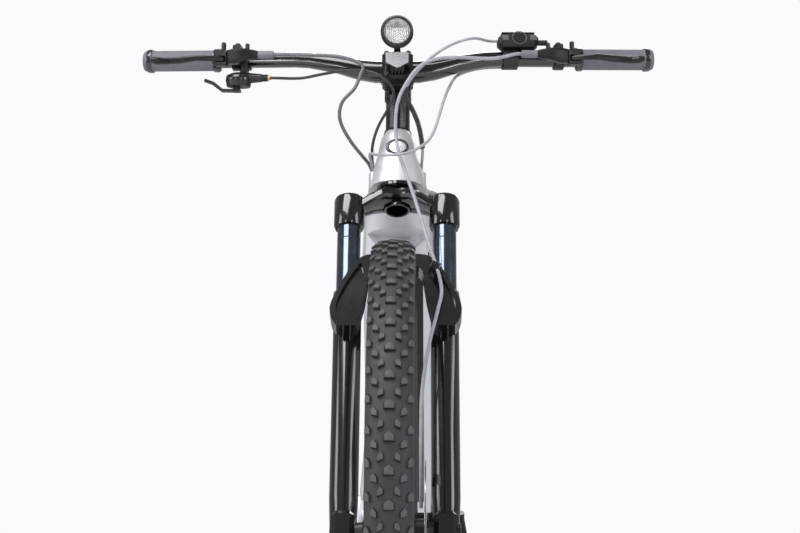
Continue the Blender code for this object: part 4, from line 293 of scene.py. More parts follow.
def turned(bm, profile, matrix, sides=32, closed=False):
    """Turns (radius, height) points round the matrix's Z axis."""
    rows = []
    for angle in circle(sides):
        rows.append([bm.verts.new(matrix @ Vector((r * cos(angle), r * sin(angle), h)))
                     for r, h in profile])
    count = len(profile)
    for k in range(sides):
        near = rows[k]
        far = rows[(k + 1) % sides]
        for j in range(count if closed else count - 1):
            i = (j + 1) % count
            bm.faces.new((near[j], far[j], far[i], near[i]))


def block(bm, size, matrix, edge=0.0):
    """A box with rounded edges."""
    made = bmesh.ops.create_cube(bm, size=1, matrix=matrix @ Matrix.Diagonal((*size, 1)))
    if edge:
        edges = list({e for v in made["verts"] for e in v.link_edges})
        bmesh.ops.bevel(bm, geom=edges, offset=edge, segments=2, profile=0.6, affect="EDGES",
                        clamp_overlap=True)


def pipe(bm, points, radii, sides=12, matrix=Matrix.Identity(4)):
    """A tube along points with closed ends; radii is one radius, or one for each point."""
    points = [matrix @ Vector(p) for p in points]
    if not hasattr(radii, "__len__"):
        radii = [radii] * len(points)
    rows = []
    side = None
    for k, point in enumerate(points):
        run = (points[min(k + 1, len(points) - 1)] - points[max(k - 1, 0)]).normalized()
        if side is None:
            side = run.orthogonal().normalized()
        side = (side - run * side.dot(run)).normalized()
        over = run.cross(side)
        rows.append([bm.verts.new(point + (side * cos(a) + over * sin(a)) * radii[k])
                     for a in circle(sides)])
    skin(bm, rows)


def bolt(bm, at, radius, head):
    """A socket head that stands on the matrix's Z axis, with its hexagonal recess."""
    turned(bm, [(radius * 0.52, head * 0.35), (radius * 0.56, head * 0.98), (radius * 0.82, head),
                (radius, head * 0.82), (radius, -head * 0.3)], at, 18)
    turned(bm, [(0, head * 0.3), (radius * 0.6, head * 0.3)], at, 6)


def prism(bm, outline, low, high, matrix):
    """An (x, y) outline given height."""
    skin(bm, [[bm.verts.new(matrix @ Vector((x, y, z))) for x, y in outline] for z in (low, high)])


WELD_REACH = 0.000004


def piece(name, bm, finish, body, angle=32, weld=True):
    """Makes the mesh an object with a finish that rides on a body, if one is named."""
    if weld:
        bmesh.ops.remove_doubles(bm, verts=bm.verts, dist=WELD_REACH)
    bmesh.ops.recalc_face_normals(bm, faces=bm.faces)
    mesh = bpy.data.meshes.new(name)
    bm.to_mesh(mesh)
    bm.free()
    mesh.shade_smooth()
    mesh.set_sharp_from_angle(angle=radians(angle))
    mesh.materials.append(finish)
    ob = bpy.data.objects.new(name, mesh)
    bpy.context.scene.collection.objects.link(ob)
    if body:
        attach(ob, body)
    return ob


SHARP_FROM = radians(34)


def make_smoother():
    """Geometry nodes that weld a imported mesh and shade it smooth, except across its sharp edges."""
    tree = bpy.data.node_groups.new("smooth_by_angle", "GeometryNodeTree")
    tree.interface.new_socket("Geometry", in_out="INPUT", socket_type="NodeSocketGeometry")
    tree.interface.new_socket("Geometry", in_out="OUTPUT", socket_type="NodeSocketGeometry")
    source = tree.nodes.new("NodeGroupInput")
    result = tree.nodes.new("NodeGroupOutput")
    bare = tree.nodes.new("GeometryNodeRemoveAttribute")
    bare.inputs["Name"].default_value = "custom_normal"
    weld = tree.nodes.new("GeometryNodeMergeByDistance")
    weld.inputs["Distance"].default_value = WELD_REACH / 2
    angle = tree.nodes.new("GeometryNodeInputMeshEdgeAngle")
    blunt = tree.nodes.new("FunctionNodeCompare")
    blunt.operation = "LESS_THAN"
    blunt.inputs[1].default_value = SHARP_FROM
    faces = tree.nodes.new("GeometryNodeSetShadeSmooth")
    edges = tree.nodes.new("GeometryNodeSetShadeSmooth")
    edges.domain = "EDGE"
    tree.links.new(source.outputs[0], bare.inputs["Geometry"])
    tree.links.new(bare.outputs[0], weld.inputs["Geometry"])
    tree.links.new(weld.outputs[0], faces.inputs["Geometry"])
    tree.links.new(faces.outputs[0], edges.inputs["Geometry"])
    tree.links.new(angle.outputs["Unsigned Angle"], blunt.inputs[0])
    tree.links.new(blunt.outputs[0], edges.inputs["Shade Smooth"])
    tree.links.new(edges.outputs[0], result.inputs[0])
    return tree


SMOOTHER = make_smoother()


def dress(finish, *names):
    """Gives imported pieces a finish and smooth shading."""
    for name in names:
        for slot in nodes[name].material_slots:
            slot.material = finish
        nodes[name].modifiers.new("smooth by angle", "NODES").node_group = SMOOTHER


def smooth(points, steps=3):
    """A smooth curve through a cord's own points."""
    points = [Vector(p) for p in points]
    ends = [points[0] * 2 - points[1]] + points + [points[-1] * 2 - points[-2]]
    route = []
    for a, b, c, d in zip(ends, ends[1:], ends[2:], ends[3:]):
        for k in range(steps):
            t = k / steps
            route.append(0.5 * (2 * b + (c - a) * t + (2 * a - 5 * b + 4 * c - d) * t ** 2
                                + (3 * b - a - 3 * c + d) * t ** 3))
    route.append(points[-1])
    return route


def distances(route):
    """How far along the route each of its points lies."""
    lengths = [0.0]
    for near, far in zip(route, route[1:]):
        lengths.append(lengths[-1] + (far - near).length)
    return lengths


# Handlebar: its straight outer stretch starts at a bend, then sweeps back and rises
BAR_BEND = (0.145, 0.0098, 0.02)
BAR_SWEEP = 0.0343
BAR_RISE = 0.0055


def bar_point(x):
    """Middle of the bar, from the stem's clamp, on its outer stretch."""
    share = (abs(x) - BAR_BEND[0]) / (BAR_HALF_WIDTH - BAR_BEND[0])
    return Vector((x, BAR_BEND[1] + BAR_SWEEP * share, BAR_BEND[2] + BAR_RISE * share))


def hand(side, at=GRIP_START):
    """Frame on the bar with its X axis along the grip."""
    run = bar_point(BAR_HALF_WIDTH) - bar_point(GRIP_START)
    turn = Matrix.Rotation(side * atan2(run.y, run.x), 4, "Z")
    turn = turn @ Matrix.Rotation(-side * atan2(run.z, run.x), 4, "Y")
    return Matrix.Translation(COCKPIT + bar_point(side * at)) @ turn


HANDS = {1: hand(1), -1: hand(-1)}


# Cables and hoses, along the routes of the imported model
HOSE_RADIUS = 0.0025
CABLE_RADIUS = 0.0021
CABLE_STEPS = 6
HOSE_OUTLET = (-0.0238, 0.003)
SHIFT_OUTLET = (-0.016, -0.029)
PORT_SPREAD = 0.0335
PORT_BACK = 0.004


def hand_point(side, local):
    return HANDS[side] @ Vector(local)


def port_point(side, back, height):
    """A place over the head tube's cable port on one side."""
    return STEERING @ Vector((side * PORT_SPREAD, PORT_BACK + back, HEAD_BOTTOM + height))


def boot(side):
    """Points of a brake hose inside the boot on its brake."""
    return [hand_point(side, (-side * x, *HOSE_OUTLET)) for x in (0.067, 0.076, 0.085, 0.094)]


BARREL = [hand_point(-1, (x, *SHIFT_OUTLET)) for x in (0.0685, 0.074, 0.0795, 0.087)]
GLAND = hand(1, REMOTE_PLACE) @ Vector((-0.0178, -0.006, 0.025))
FRONT_HOSE = [*boot(1), (0.134, -0.334, 1.024), (0.082, -0.348, 1.023), (0.05, -0.356, 1.018),
              (0.029, -0.362, 1.005), (0.014, -0.367, 0.984), (0.002, -0.371, 0.958),
              (-0.002, -0.374, 0.925), (0.001, -0.381, 0.89), (0.009, -0.392, 0.862),
              (0.02, -0.405, 0.83), (0.03, -0.421, 0.797), (0.04, -0.441, 0.762),
              (0.049, -0.458, 0.732), (0.057, -0.47, 0.706), (0.061, -0.478, 0.68),
              (0.055, -0.487, 0.652), (0.0455, -0.493, 0.615), (0.039, -0.496, 0.58),
              (0.0345, -0.502, 0.54), (0.0335, -0.509, 0.49), (0.0335, -0.51, 0.445),
              (0.0335, -0.502, 0.396)]
REMOTE_CABLE = [GLAND, GLAND + Vector((-0.014, -0.004, 0.0)), (0.108, -0.34, 1.052),
                (0.082, -0.346, 1.044), (0.055, -0.35, 1.028), (0.029, -0.35, 1.004),
                (0.014, -0.344, 0.984), (0.011, -0.34, 0.97), (0.021, -0.338, 0.951),
                (0.029, -0.336, 0.932), (0.0335, -0.333, 0.912), (0.0355, -0.328, 0.893),
                port_point(1, 0.0, 0.036), port_point(1, 0.0, 0.0185)]
SENSOR_CABLE = [(0.1478, -0.2822, 1.0217), (0.125, -0.2873, 1.0198), (0.105, -0.2892, 1.016),
                (0.088, -0.2915, 1.0095), (0.08, -0.305, 1.0), (0.075, -0.325, 0.988),
                (0.069, -0.345, 0.972), (0.0625, -0.362, 0.95), (0.053, -0.376, 0.917),
                (0.043, -0.386, 0.898), (0.028, -0.393, 0.886), (0.012, -0.397, 0.879),
                (-0.008, -0.394, 0.877), (-0.022, -0.381, 0.8795), (-0.031, -0.362, 0.883),
                (-0.0375, -0.343, 0.887), (-0.0385, -0.331, 0.883), port_point(-1, -0.0065, 0.03),
                port_point(-1, -0.0065, 0.0185)]
REAR_HOSE = [*boot(-1), (-0.12, -0.332, 1.03), (-0.08, -0.338, 1.026), (-0.05, -0.342, 1.014),
             (-0.052, -0.347, 0.998), (-0.06, -0.352, 0.978), (-0.076, -0.354, 0.96),
             (-0.081, -0.35, 0.942), (-0.077, -0.344, 0.925), (-0.064, -0.332, 0.904),
             (-0.05, -0.319, 0.888), (-0.04, -0.311, 0.876), port_point(-1, 0.0065, 0.03),
             port_point(-1, 0.0065, 0.0185)]
SHIFT_CABLE = [*BARREL, (-0.139, -0.306, 1.002), (-0.108, -0.314, 1.006), (-0.08, -0.326, 1.008),
               (-0.045, -0.338, 1.006), (-0.018, -0.344, 0.994), (-0.005, -0.344, 0.974),
               (-0.013, -0.338, 0.952), (-0.026, -0.334, 0.929), (-0.034, -0.33, 0.906),
               (-0.036, -0.32, 0.886), port_point(-1, 0.0, 0.03), port_point(-1, 0.0, 0.0185)]

TO_FRAME = ("frame", Vector((0, -0.36, 0.99)), Vector((0, -0.372, 0.893)))
TO_LOWERS = ("fork_lowers", Vector((0, -0.38, 0.99)), Vector((0, -0.46, 0.735)))


def bend(ob, reach):
    """Lets a cord turn with the bars at its top and stay with another body from its foot down."""
    body, top, foot = reach
    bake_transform(ob, "steering", body, start=top, end=foot)


def cable(name, node, points, radius, finish, reach):
    """A smooth round cord along the same points as its solid."""
    route = smooth(points, CABLE_STEPS)
    bm = bmesh.new()
    pipe(bm, route, radius, 14)
    ob = piece(name, bm, finish, None, 60)
    bend(ob, reach)
    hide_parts(node)


cable("front_hose", "front_brake_hose", FRONT_HOSE, HOSE_RADIUS, grey_housing, TO_LOWERS)
cable("remote_lead", "remote_cable", REMOTE_CABLE, CABLE_RADIUS, grey_housing, TO_FRAME)
cable("sensor_lead", "sensor_cable", SENSOR_CABLE, CABLE_RADIUS, grey_housing, TO_FRAME)
cable("rear_hose", "rear_brake_hose", REAR_HOSE, HOSE_RADIUS, dull_housing, TO_FRAME)
cable("shift_housing", "shift_cable", SHIFT_CABLE, CABLE_RADIUS, black_housing, TO_FRAME)


WRAP_PITCH = 0.0032
WRAP_STEPS = 20
WRAP_SECTION = ((0.0024, -0.0015), (0.0034, -0.0012), (0.0038, 0.0), (0.0034, 0.0012), (0.0024, 0.0015))


def make_wrap():
    """Flat plastic spiral round the remote lead, from its seventh point to two before its last."""
    route = smooth(REMOTE_CABLE, 12)[12 * 6:-12 * 2]
    bm = bmesh.new()
    lengths = distances(route)
    rows = []
    place = 0
    side = Vector((0, 1, 0))
    turns = int((lengths[-1] - 0.004) / WRAP_PITCH)
    for k in range(turns * WRAP_STEPS + 1):
        want = 0.002 + WRAP_PITCH * k / WRAP_STEPS
        while lengths[place + 1] < want:
            place += 1
        run = (route[place + 1] - route[place]).normalized()
        share = (want - lengths[place]) / (lengths[place + 1] - lengths[place])
        centre = route[place].lerp(route[place + 1], share)
        side = (side - run * side.dot(run)).normalized()
        over = run.cross(side)
        angle = 2 * pi * k / WRAP_STEPS
        out = side * cos(angle) + over * sin(angle)
        rows.append([bm.verts.new(centre + out * r + run * w) for r, w in WRAP_SECTION])
    skin(bm, rows)
    wrap = piece("spiral_wrap", bm, black_housing, None, 50)
    bend(wrap, TO_FRAME)
    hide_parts("cable_wrap")


make_wrap()


# Tyres with their knobs; a row's numbers are its place across and round, its width, length, height and skew
TREAD_RADIUS = 0.366
TREAD_REPEATS = 60
CASING_STEPS = 180
KNOB_SHAPE = ((-1, -1), (1, -1), (1, 0.35), (0, 1.25), (-1, 0.35))
SIDE_KNOBS = ((0.0158, 0.22, 0.0074, 0.009, 0.004, 0.0012), (0.0094, 0.6, 0.0066, 0.0088, 0.0036, -0.0014),
              (0.0226, 0.75, 0.0078, 0.01, 0.0036, 0.001))
CASING = [(0.0146, 0.3168), (0.0205, 0.3225), (0.0262, 0.333), (0.0278, 0.342), (0.0272, 0.35),
          (0.024, 0.3568), (0.0185, 0.3612), (0.01, 0.3638), (0.0, 0.3645)]


def casing_at(x):
    """Radius and outward (x, r) direction of the tyre's casing at a distance from the middle."""
    side = 1 if x >= 0 else -1
    points = CASING[::-1]
    for (x0, r0), (x1, r1) in zip(points, points[1:]):
        if abs(x) <= x1:
            share = (abs(x) - x0) / (x1 - x0)
            break
    radius = r0 + (r1 - r0) * share
    out = Vector((side * (r0 - r1), x1 - x0)).normalized()
    return radius, out


def knob(bm, matrix, x, angle, wide, long, tall, skew=0.0):
    """One chamfered five-sided block of tread, wide across the tyre and pointed round it."""
    radius, out = casing_at(x)
    lift = bm.verts.layers.float["lift"]
    rows = []
    # A row's level is its lift: 0 at the foot gives painted shade, 1 on the top a painted highlight
    for height, shrink, level in ((-0.0012, 1.12, 0.0), (tall - 0.0006, 1.0, 0.15), (tall, 0.86, 1.0)):
        row = []
        for cx, ca in KNOB_SHAPE:
            across = cx * wide / 2 * shrink
            along = (ca * long / 2 + cx * skew) * shrink
            px = x + across * out.y + out.x * height
            pr = radius - across * out.x + out.y * height
            turn = angle - along / TREAD_RADIUS
            row.append(bm.verts.new(on_wheel(matrix, turn, pr, px)))
            row[-1][lift] = level
        rows.append(row)
    skin(bm, rows, ends=(-1,))


def make_tyre(name, node, matrix, body):
    """A casing turned from its section, with rows of knobs round it."""
    bm = bmesh.new()
    lift = bm.verts.layers.float.new("lift")
    section = [(r, x) for x, r in CASING] + [(r, -x) for x, r in CASING[-2::-1]]
    turned(bm, section, matrix @ ON_AXLE, CASING_STEPS, True)
    for vert in bm.verts:
        vert[lift] = 0.5
    pitch = 2 * pi / TREAD_REPEATS
    for k in range(TREAD_REPEATS):
        base = pitch * k
        knob(bm, matrix, 0.0, base, 0.0115, 0.0105, 0.0034)
        for side in (1, -1):
            for x, share, wide, long, tall, skew in SIDE_KNOBS:
                knob(bm, matrix, side * x, base + pitch * share, wide, long, tall, side * skew)
    tyre = piece(name, bm, make_tyre_material(name + "_rubber"), body, 40, False)
    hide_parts(node)


make_tyre("front_tread", "front_tyre", FRONT_WHEEL, "front_wheel")
make_tyre("rear_tread", "rear_tyre", REAR_WHEEL, "rear_wheel")


# Wheels: spoke nipples, spoke heads and valve
SPOKES = 24
FLANGE_RADIUS = 0.0272
RIM_INSIDE = RIM_RADIUS - RIM_DEPTH


def make_wheel_trim(name, matrix, body, flanges):
    bm = bmesh.new()
    for turn in circle(SPOKES):
        foot = on_wheel(matrix, turn, RIM_INSIDE - 0.012)
        top = on_wheel(matrix, turn, RIM_INSIDE + 0.0015)
        pipe(bm, [foot, foot.lerp(top, 0.6), top], [0.0017, 0.002, 0.0022], 8)
    piece(name + "_nipples", bm, steel, body)
    bm = bmesh.new()
    for x in flanges:
        for k in range(SPOKES // 2):
            turn = 4 * pi * (k + 0.5) / SPOKES
            at = Matrix.Translation(on_wheel(matrix, turn, FLANGE_RADIUS, x)) @ ALONG_X
            turned(bm, [(0, 0.0028), (0.0014, 0.0026), (0.0018, 0.0018), (0.0018, -0.0018), (0.0014, -0.0026),
                        (0, -0.0028)], at, 10)
    piece(name + "_spoke_heads", bm, steel, body)
    bm = bmesh.new()
    turn = 2 * pi * 3.5 / SPOKES
    base = on_wheel(matrix, turn, RIM_INSIDE + 0.001)
    tip = on_wheel(matrix, turn, RIM_INSIDE - 0.034)
    pipe(bm, [base.lerp(tip, share) for share in (0, 0.12, 0.13, 0.7, 0.71, 1)],
         [0.0052, 0.0052, 0.003, 0.003, 0.0034, 0.0028], 12)
    piece(name + "_valve", bm, dark_steel, body)


make_wheel_trim("front", FRONT_WHEEL, "front_wheel", (0.0205, -0.033))
make_wheel_trim("rear", REAR_WHEEL, "rear_wheel", (0.033, -0.02))


# Drive: toothed cogs, ring teeth and chain links
FIRST_COG = -0.066
COG_SPACING = 0.0038
CHAIN_COG = 5
PULLEY_TEETH = 11
COG_BORE = 0.0135
TOOTH = ((0.0, -0.0038), (0.13, -0.0031), (0.24, -0.0006), (0.36, 0.0026), (0.44, 0.0036), (0.56, 0.0036),
         (0.64, 0.0026), (0.76, -0.0006), (0.87, -0.0031))


def pitch_radius(teeth):
    return CHAIN_PITCH / 2 / sin(pi / teeth)


def cog_x(number):
    return FIRST_COG + COG_SPACING * number


def teeth_outline(teeth):
    """(y, z) outline of a sprocket with roller seats and rounded tips."""
    pitch = pitch_radius(teeth)
    points = []
    for k in range(teeth):
        for share, off in TOOTH:
            turn = 2 * pi * (k + share) / teeth
            points.append(((pitch + off) * cos(turn), (pitch + off) * sin(turn)))
    return points


def sprocket(bm, teeth, x, thick, matrix, bore):
    """A toothed ring."""
    outline = teeth_outline(teeth)
    inner = [(bore * cos(turn), bore * sin(turn)) for turn in circle(len(outline))]
    half = thick / 2
    loops = []
    for points, off in ((outline, half), (outline, -half), (inner, -half), (inner, half)):
        loops.append([bm.verts.new(matrix @ Vector((x + off, a, b))) for a, b in points])
    skin(bm, loops + loops[:1], ends=())


def make_cogs():
    """Cogs on the arms of their carrier, and the teeth of the chain ring."""
    bm = bmesh.new()
    for k, teeth in enumerate(COG_TEETH):
        step = COG_TEETH[k - 1] if k else 7
        bore = max(COG_BORE, pitch_radius(step) - 0.0105)
        sprocket(bm, teeth, cog_x(k), 0.0018, REAR_WHEEL, bore)
    for angle in circle(5):
        for a, b in zip(range(5, 9), range(6, 10)):
            near = pitch_radius(COG_TEETH[a]) - 0.008
            far = pitch_radius(COG_TEETH[b]) - 0.008
            turn = angle + 0.14 * (a - 5)
            start = on_wheel(REAR_WHEEL, turn, near, cog_x(a))
            end = on_wheel(REAR_WHEEL, turn + 0.14, far, cog_x(b))
            pipe(bm, [start, end], [0.0045, 0.0045], 6)
    turned(bm, [(COG_BORE, 0.0328), (0.018, 0.0328), (0.018, 0.067), (COG_BORE, 0.0685)],
           REAR_WHEEL @ Matrix.Rotation(-pi / 2, 4, "Y"), 24, True)
    cogs = piece("toothed_cogs", bm, steel, "cassette", 30)
    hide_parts("cassette")
    bm = bmesh.new()
    bore = pitch_radius(RING_TEETH) - 0.015
    sprocket(bm, RING_TEETH, -CHAIN_LINE, 0.002, Matrix.Translation(BRACKET), bore)
    piece("ring_teeth", bm, anodised, "cranks", 30)


make_cogs()


def chain_pins():
    """Centre of each pin on the way round the wheels."""
    guide_at = Vector((REAR_AXLE.y + 0.012, REAR_AXLE.z - 0.098))
    lower_at = Vector((REAR_AXLE.y - 0.022, REAR_AXLE.z - 0.164))
    pulley = pitch_radius(PULLEY_TEETH)
    line = cog_x(CHAIN_COG)
    wheels = [(BRACKET.yz, pitch_radius(RING_TEETH), -1, -CHAIN_LINE),
              (REAR_AXLE.yz, pitch_radius(COG_TEETH[CHAIN_COG]), -1, line),
              (guide_at, pulley, 1, line), (lower_at, pulley, -1, line)]
    touches = []
    for k, (near, near_radius, near_way, _) in enumerate(wheels):
        far, far_radius, far_way, _ = wheels[(k + 1) % len(wheels)]
        gap = far - near
        step = far_way * far_radius - near_way * near_radius
        straight = sqrt(gap.length_squared - step * step)
        normal = (straight * Vector((-gap.y, gap.x)) + step * gap) / gap.length_squared
        touches.append((near - near_way * near_radius * normal, far - far_way * far_radius * normal))
    route = []
    for k, (centre, radius, way, x) in enumerate(wheels):
        arrive = touches[k - 1][1] - centre
        leave = touches[k][0] - centre
        start = atan2(arrive.y, arrive.x)
        sweep = (atan2(leave.y, leave.x) - start) * way % (2 * pi) * way
        for step in range(49):
            angle = start + sweep * step / 48
            route.append(Vector((x, centre.x + radius * cos(angle), centre.y + radius * sin(angle))))
    route.append(route[0])
    lengths = distances(route)
    count = 2 * round(lengths[-1] / CHAIN_PITCH / 2)
    pins = []
    place = 0
    for k in range(count):
        want = lengths[-1] * k / count
        while lengths[place + 1] < want:
            place += 1
        share = (want - lengths[place]) / max(lengths[place + 1] - lengths[place], 1e-9)
        pins.append(route[place].lerp(route[place + 1], share))
    return pins


def make_links():
    """Outer and inner plates in turn, with a pin and roller at each joint."""
    bm = bmesh.new()
    pins = chain_pins()
    half = CHAIN_PITCH / 2
    outline = []
    for end in (1, -1):
        for k in range(7):
            angle = radians(-75 + 25 * k) + (0 if end > 0 else pi)
            outline.append((end * half + 0.0039 * cos(angle), 0.0039 * sin(angle)))
        outline.append((0, end * 0.0026))
    for k, pin in enumerate(pins):
        after = pins[(k + 1) % len(pins)]
        run = (after - pin).normalized()
        over = X.cross(run).normalized()
        across = run.cross(over)
        at = frame_of((pin + after) / 2, run, over, across)
        far = 0.0026 if k % 2 else 0.0015
        for side in (1, -1):
            prism(bm, outline, side * far - 0.0004, side * far + 0.0004, at)
        turned(bm, [(0, 0.0032), (0.0017, 0.0032), (0.0017, 0.0011), (0.0038, 0.0011), (0.0038, -0.0011),
                    (0.0017, -0.0011), (0.0017, -0.0032), (0, -0.0032)],
               frame_of(pin, run, over, across), 10)
    links = piece("chain_links", bm, steel, "frame", 30)
    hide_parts("chain")


make_links()


# Saddle; a row's numbers are its share of the length, half width, top and depth
SADDLE_TOP = 0.944
SADDLE_LENGTH = 0.265
SADDLE_STEPS = 44
SADDLE_MIDDLE = Vector((0, 0.29, SADDLE_TOP))
SADDLE_ROWS = [(0.0, 0.011, -0.02, 0.009), (0.03, 0.0175, -0.012, 0.014),
               (0.12, 0.021, -0.008, 0.018), (0.3, 0.024, -0.007, 0.021),
               (0.48, 0.033, -0.008, 0.024), (0.64, 0.053, -0.007, 0.029),
               (0.78, 0.07, -0.004, 0.033), (0.88, 0.074, -0.001, 0.034),
               (0.96, 0.069, 0.0, 0.03), (1.0, 0.056, -0.006, 0.02)]


def make_saddle():
    """Crowned cushion with a centre channel and a seam round its edge, closed by its own underside."""
    bm = bmesh.new()
    rows = []
    table = smooth([Vector((row[1], row[2], row[3])) for row in SADDLE_ROWS], 6)
    shares = smooth([Vector((row[0], 0, 0)) for row in SADDLE_ROWS], 6)
    for share, (half, top, deep) in zip(shares, table):
        y = SADDLE_MIDDLE.y + SADDLE_LENGTH * (share.x - 0.5)
        row = []
        for k in range(SADDLE_STEPS + 1):
            angle = pi * k / SADDLE_STEPS
            across = half * cos(angle)
            bulge = sin(angle) ** 0.75
            along = min(max(share.x, 0.05), 0.97)
            dip = 0.0045 * exp(-(across / 0.01) ** 2) * sin(pi * along)
            seam = 0.001 * exp(-((abs(cos(angle)) - 0.9) / 0.035) ** 2)
            row.append(bm.verts.new((across, y, SADDLE_TOP + top - deep * (1 - bulge) - dip - seam)))
        for across in (-0.96, -0.8, -0.3, 0.3, 0.8, 0.96):
            drop = 1.2 if abs(across) > 0.9 else 1.25
            row.append(bm.verts.new((half * across, y, SADDLE_TOP + top - deep * drop)))
        rows.append(row)
    skin(bm, rows)
    cushion = piece("saddle_cushion", bm, leather, "seat", 60)
    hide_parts("saddle")


make_saddle()


# Fork: polished stanchions, wiper seals, travel rings and leg caps
SEAL_BORE = 0.0163
RING_INNER = 0.01602
RING_OUTER = 0.01616


def make_fork_trim():
    polish = STANCHION_RADIUS + 0.0001
    for side, tag in SIDES:
        at = STEERING @ shift(side * LEG_SPACING / 2, -LEG_OFFSET, 0)
        bm = bmesh.new()
        turned(bm, [(polish, SOCKET_FOOT - 0.001), (polish, LEG_TOP - 0.05)], at, 48)
        piece("stanchion_" + tag, bm, stanchion_finish, "steering")
        bm = bmesh.new()
        turned(bm, [(SEAL_BORE, LEG_TOP + 0.0044), (0.0172, LEG_TOP + 0.0042), (0.018, LEG_TOP + 0.0028),
                    (0.0196, LEG_TOP + 0.0024), (0.0198, LEG_TOP - 0.001), (SEAL_BORE, LEG_TOP - 0.001)],
               at, 40, True)
        piece("wiper_seal_" + tag, bm, rubber, "fork_lowers")
        bm = bmesh.new()
        turned(bm, [(RING_INNER, 0.437), (RING_OUTER, 0.4368), (RING_OUTER, 0.4352), (RING_INNER, 0.435)],
               at, 48, True)
        piece("travel_ring_" + tag, bm, plastic, "steering")
        bm = bmesh.new()
        turned(bm, [(0, SOCKET_TOP + 0.0018), (0.01, SOCKET_TOP + 0.0018), (0.0125, SOCKET_TOP + 0.001),
                    (0.0135, SOCKET_TOP - 0.003), (0, SOCKET_TOP - 0.003)], at, 32)
        turned(bm, [(0, SOCKET_TOP + 0.004), (0.0055, SOCKET_TOP + 0.004), (0.0065, SOCKET_TOP + 0.003),
                    (0.0065, SOCKET_TOP), (0, SOCKET_TOP)], at, 6)
        piece("leg_cap_" + tag, bm, anodised, "steering")


make_fork_trim()


# Lamp and reflector; the lamp's own Z axis looks forward
LAMP = CLAMP @ shift(0, -0.046, 0.0463) @ FACING
LAMP_FRONT = 0.0198
LAMP_BACK = -0.0242
LAMP_RIBS = 64
LENS_REACH = 0.0172
CATCHES = 9
CATCH_SPACING = 0.0034


def make_lamp_shell():
    """A bowl with fine ribs round its rim, on a knuckle."""
    half = LIGHT_RADIUS
    front = LAMP_FRONT
    bm = bmesh.new()
    turned(bm, [(half * 0.78, front - 0.016), (half * 0.79, front), (half * 0.83, front + 0.0006),
                (half * 0.9, front), (half * 0.95, front - 0.004), (half * 0.95, front - 0.0165),
                (half * 0.8, front - 0.02), (half * 0.62, LAMP_BACK + 0.004), (half * 0.4, LAMP_BACK),
                (0, LAMP_BACK)], LAMP, 64)
    for angle in circle(LAMP_RIBS):
        turn = LAMP @ Matrix.Rotation(angle, 4, "Z")
        block(bm, (0.0016, 0.0012, 0.0118), turn @ shift(half * 0.955, 0, front - 0.0104))
    block(bm, (0.009, 0.011, 0.006), LAMP @ shift(0, -0.0153, -0.01), 0.001)
    turned(bm, [(0, 0.0045), (0.0045, 0.0045), (0.0045, -0.0045), (0, -0.0045)],
           LAMP @ shift(0, -0.0185, -0.01) @ ALONG_X, 20)
    shell = piece("lamp_shell", bm, plastic, "headlight", 40)
    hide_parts("headlight")


def make_lamp_optics():
    """Mirror, the upright ribs of the lens, and the diode on its bridge."""
    front = LAMP_FRONT
    bm = bmesh.new()
    turned(bm, [(0, front - 0.0145), (0.005, front - 0.014), (0.011, front - 0.011),
                (0.0155, front - 0.0075), (LIGHT_RADIUS * 0.785, front - 0.0045)], LAMP, 48)
    piece("lamp_bowl", bm, mirror, "headlight", 60)
    bm = bmesh.new()
    for k in range(-5, 6):
        x = k * 0.0029
        reach = sqrt(LENS_REACH ** 2 - x * x)
        top = min(reach, 0.005)
        points = [(x, -reach + (reach + top) * j / 6, front - 0.0058) for j in range(7)]
        pipe(bm, points, 0.001, 8, LAMP)
    piece("lens_ribs", bm, lens_rib, "headlight", 60)
    bm = bmesh.new()
    block(bm, (0.012, 0.0036, 0.004), LAMP @ shift(0, 0.0048, front - 0.008), 0.0008)
    block(bm, (0.004, 0.008, 0.003), LAMP @ shift(0, 0.009, front - 0.009), 0.0006)
    piece("led_bridge", bm, plastic, "headlight")
    bm = bmesh.new()
    block(bm, (0.0034, 0.0012, 0.0026), LAMP @ shift(0, 0.0026, front - 0.0082), 0.0003)
    piece("led_chip", bm, led, "headlight")


def make_reflector_catches():
    """The row of catches between the lamp and the reflector."""
    bm = bmesh.new()
    for k in range(CATCHES):
        place = shift(-0.0136 + CATCH_SPACING * k, -0.0425, 0.019)
        block(bm, (0.0022, 0.003, 0.0022), CLAMP @ place, 0.0003)
    piece("reflector_catches", bm, plastic, "steering")


# Cockpit hardware
FACEPLATE_FRONT = -0.0657
STEM_BACK = 0.0194
STEM_BOLT = (0.0036, 0.0026)
SLEEVE_RIBS = 18
RIB_PITCH = 0.003
BRAKE_BOLTS = ((0.012, -0.026, 0.019, 0.0032, 0.002), (0.046, -0.023, 0.018, 0.0028, 0.0016),
               (0.027, -0.004, 0.0215, 0.0034, 0.0026), (0.0105, -0.0385, 0.007, 0.0036, 0.0018))
LEVER_PIVOT = (0.0105, -0.0385, -0.006)
LEVER_TIP = ((0.078, -0.0205, -0.0058), (0.084, -0.0232, -0.006), (0.0885, -0.0262, -0.0058),
             (0.09, -0.029, -0.0052), (0.0895, -0.031, -0.0048))
SHIFTER_FOOT = (0.033, -0.016, -0.031)
KNURLS = 14


def make_stem_bolts():
    """Four bolts in the faceplate, two behind at the steerer's clamp and one in the top cap."""
    bm = bmesh.new()
    for x in (-0.0155, 0.0155):
        for up in (-0.0165, 0.0165):
            place = shift(x, FACEPLATE_FRONT, STEM_MIDDLE + up)
            bolt(bm, STEERING @ place @ FACING, *STEM_BOLT)
    for up in (-0.0115, 0.0115):
        place = shift(0.0, STEM_BACK, STEM_MIDDLE + up)
        bolt(bm, STEERING @ (place @ Matrix.Rotation(-pi / 2, 4, "X")), *STEM_BOLT)
    bolt(bm, STEERING @ shift(0, 0, STEM_TOP + 0.005), 0.005, 0.0024)
    piece("stem_bolts", bm, dark_steel, "steering")


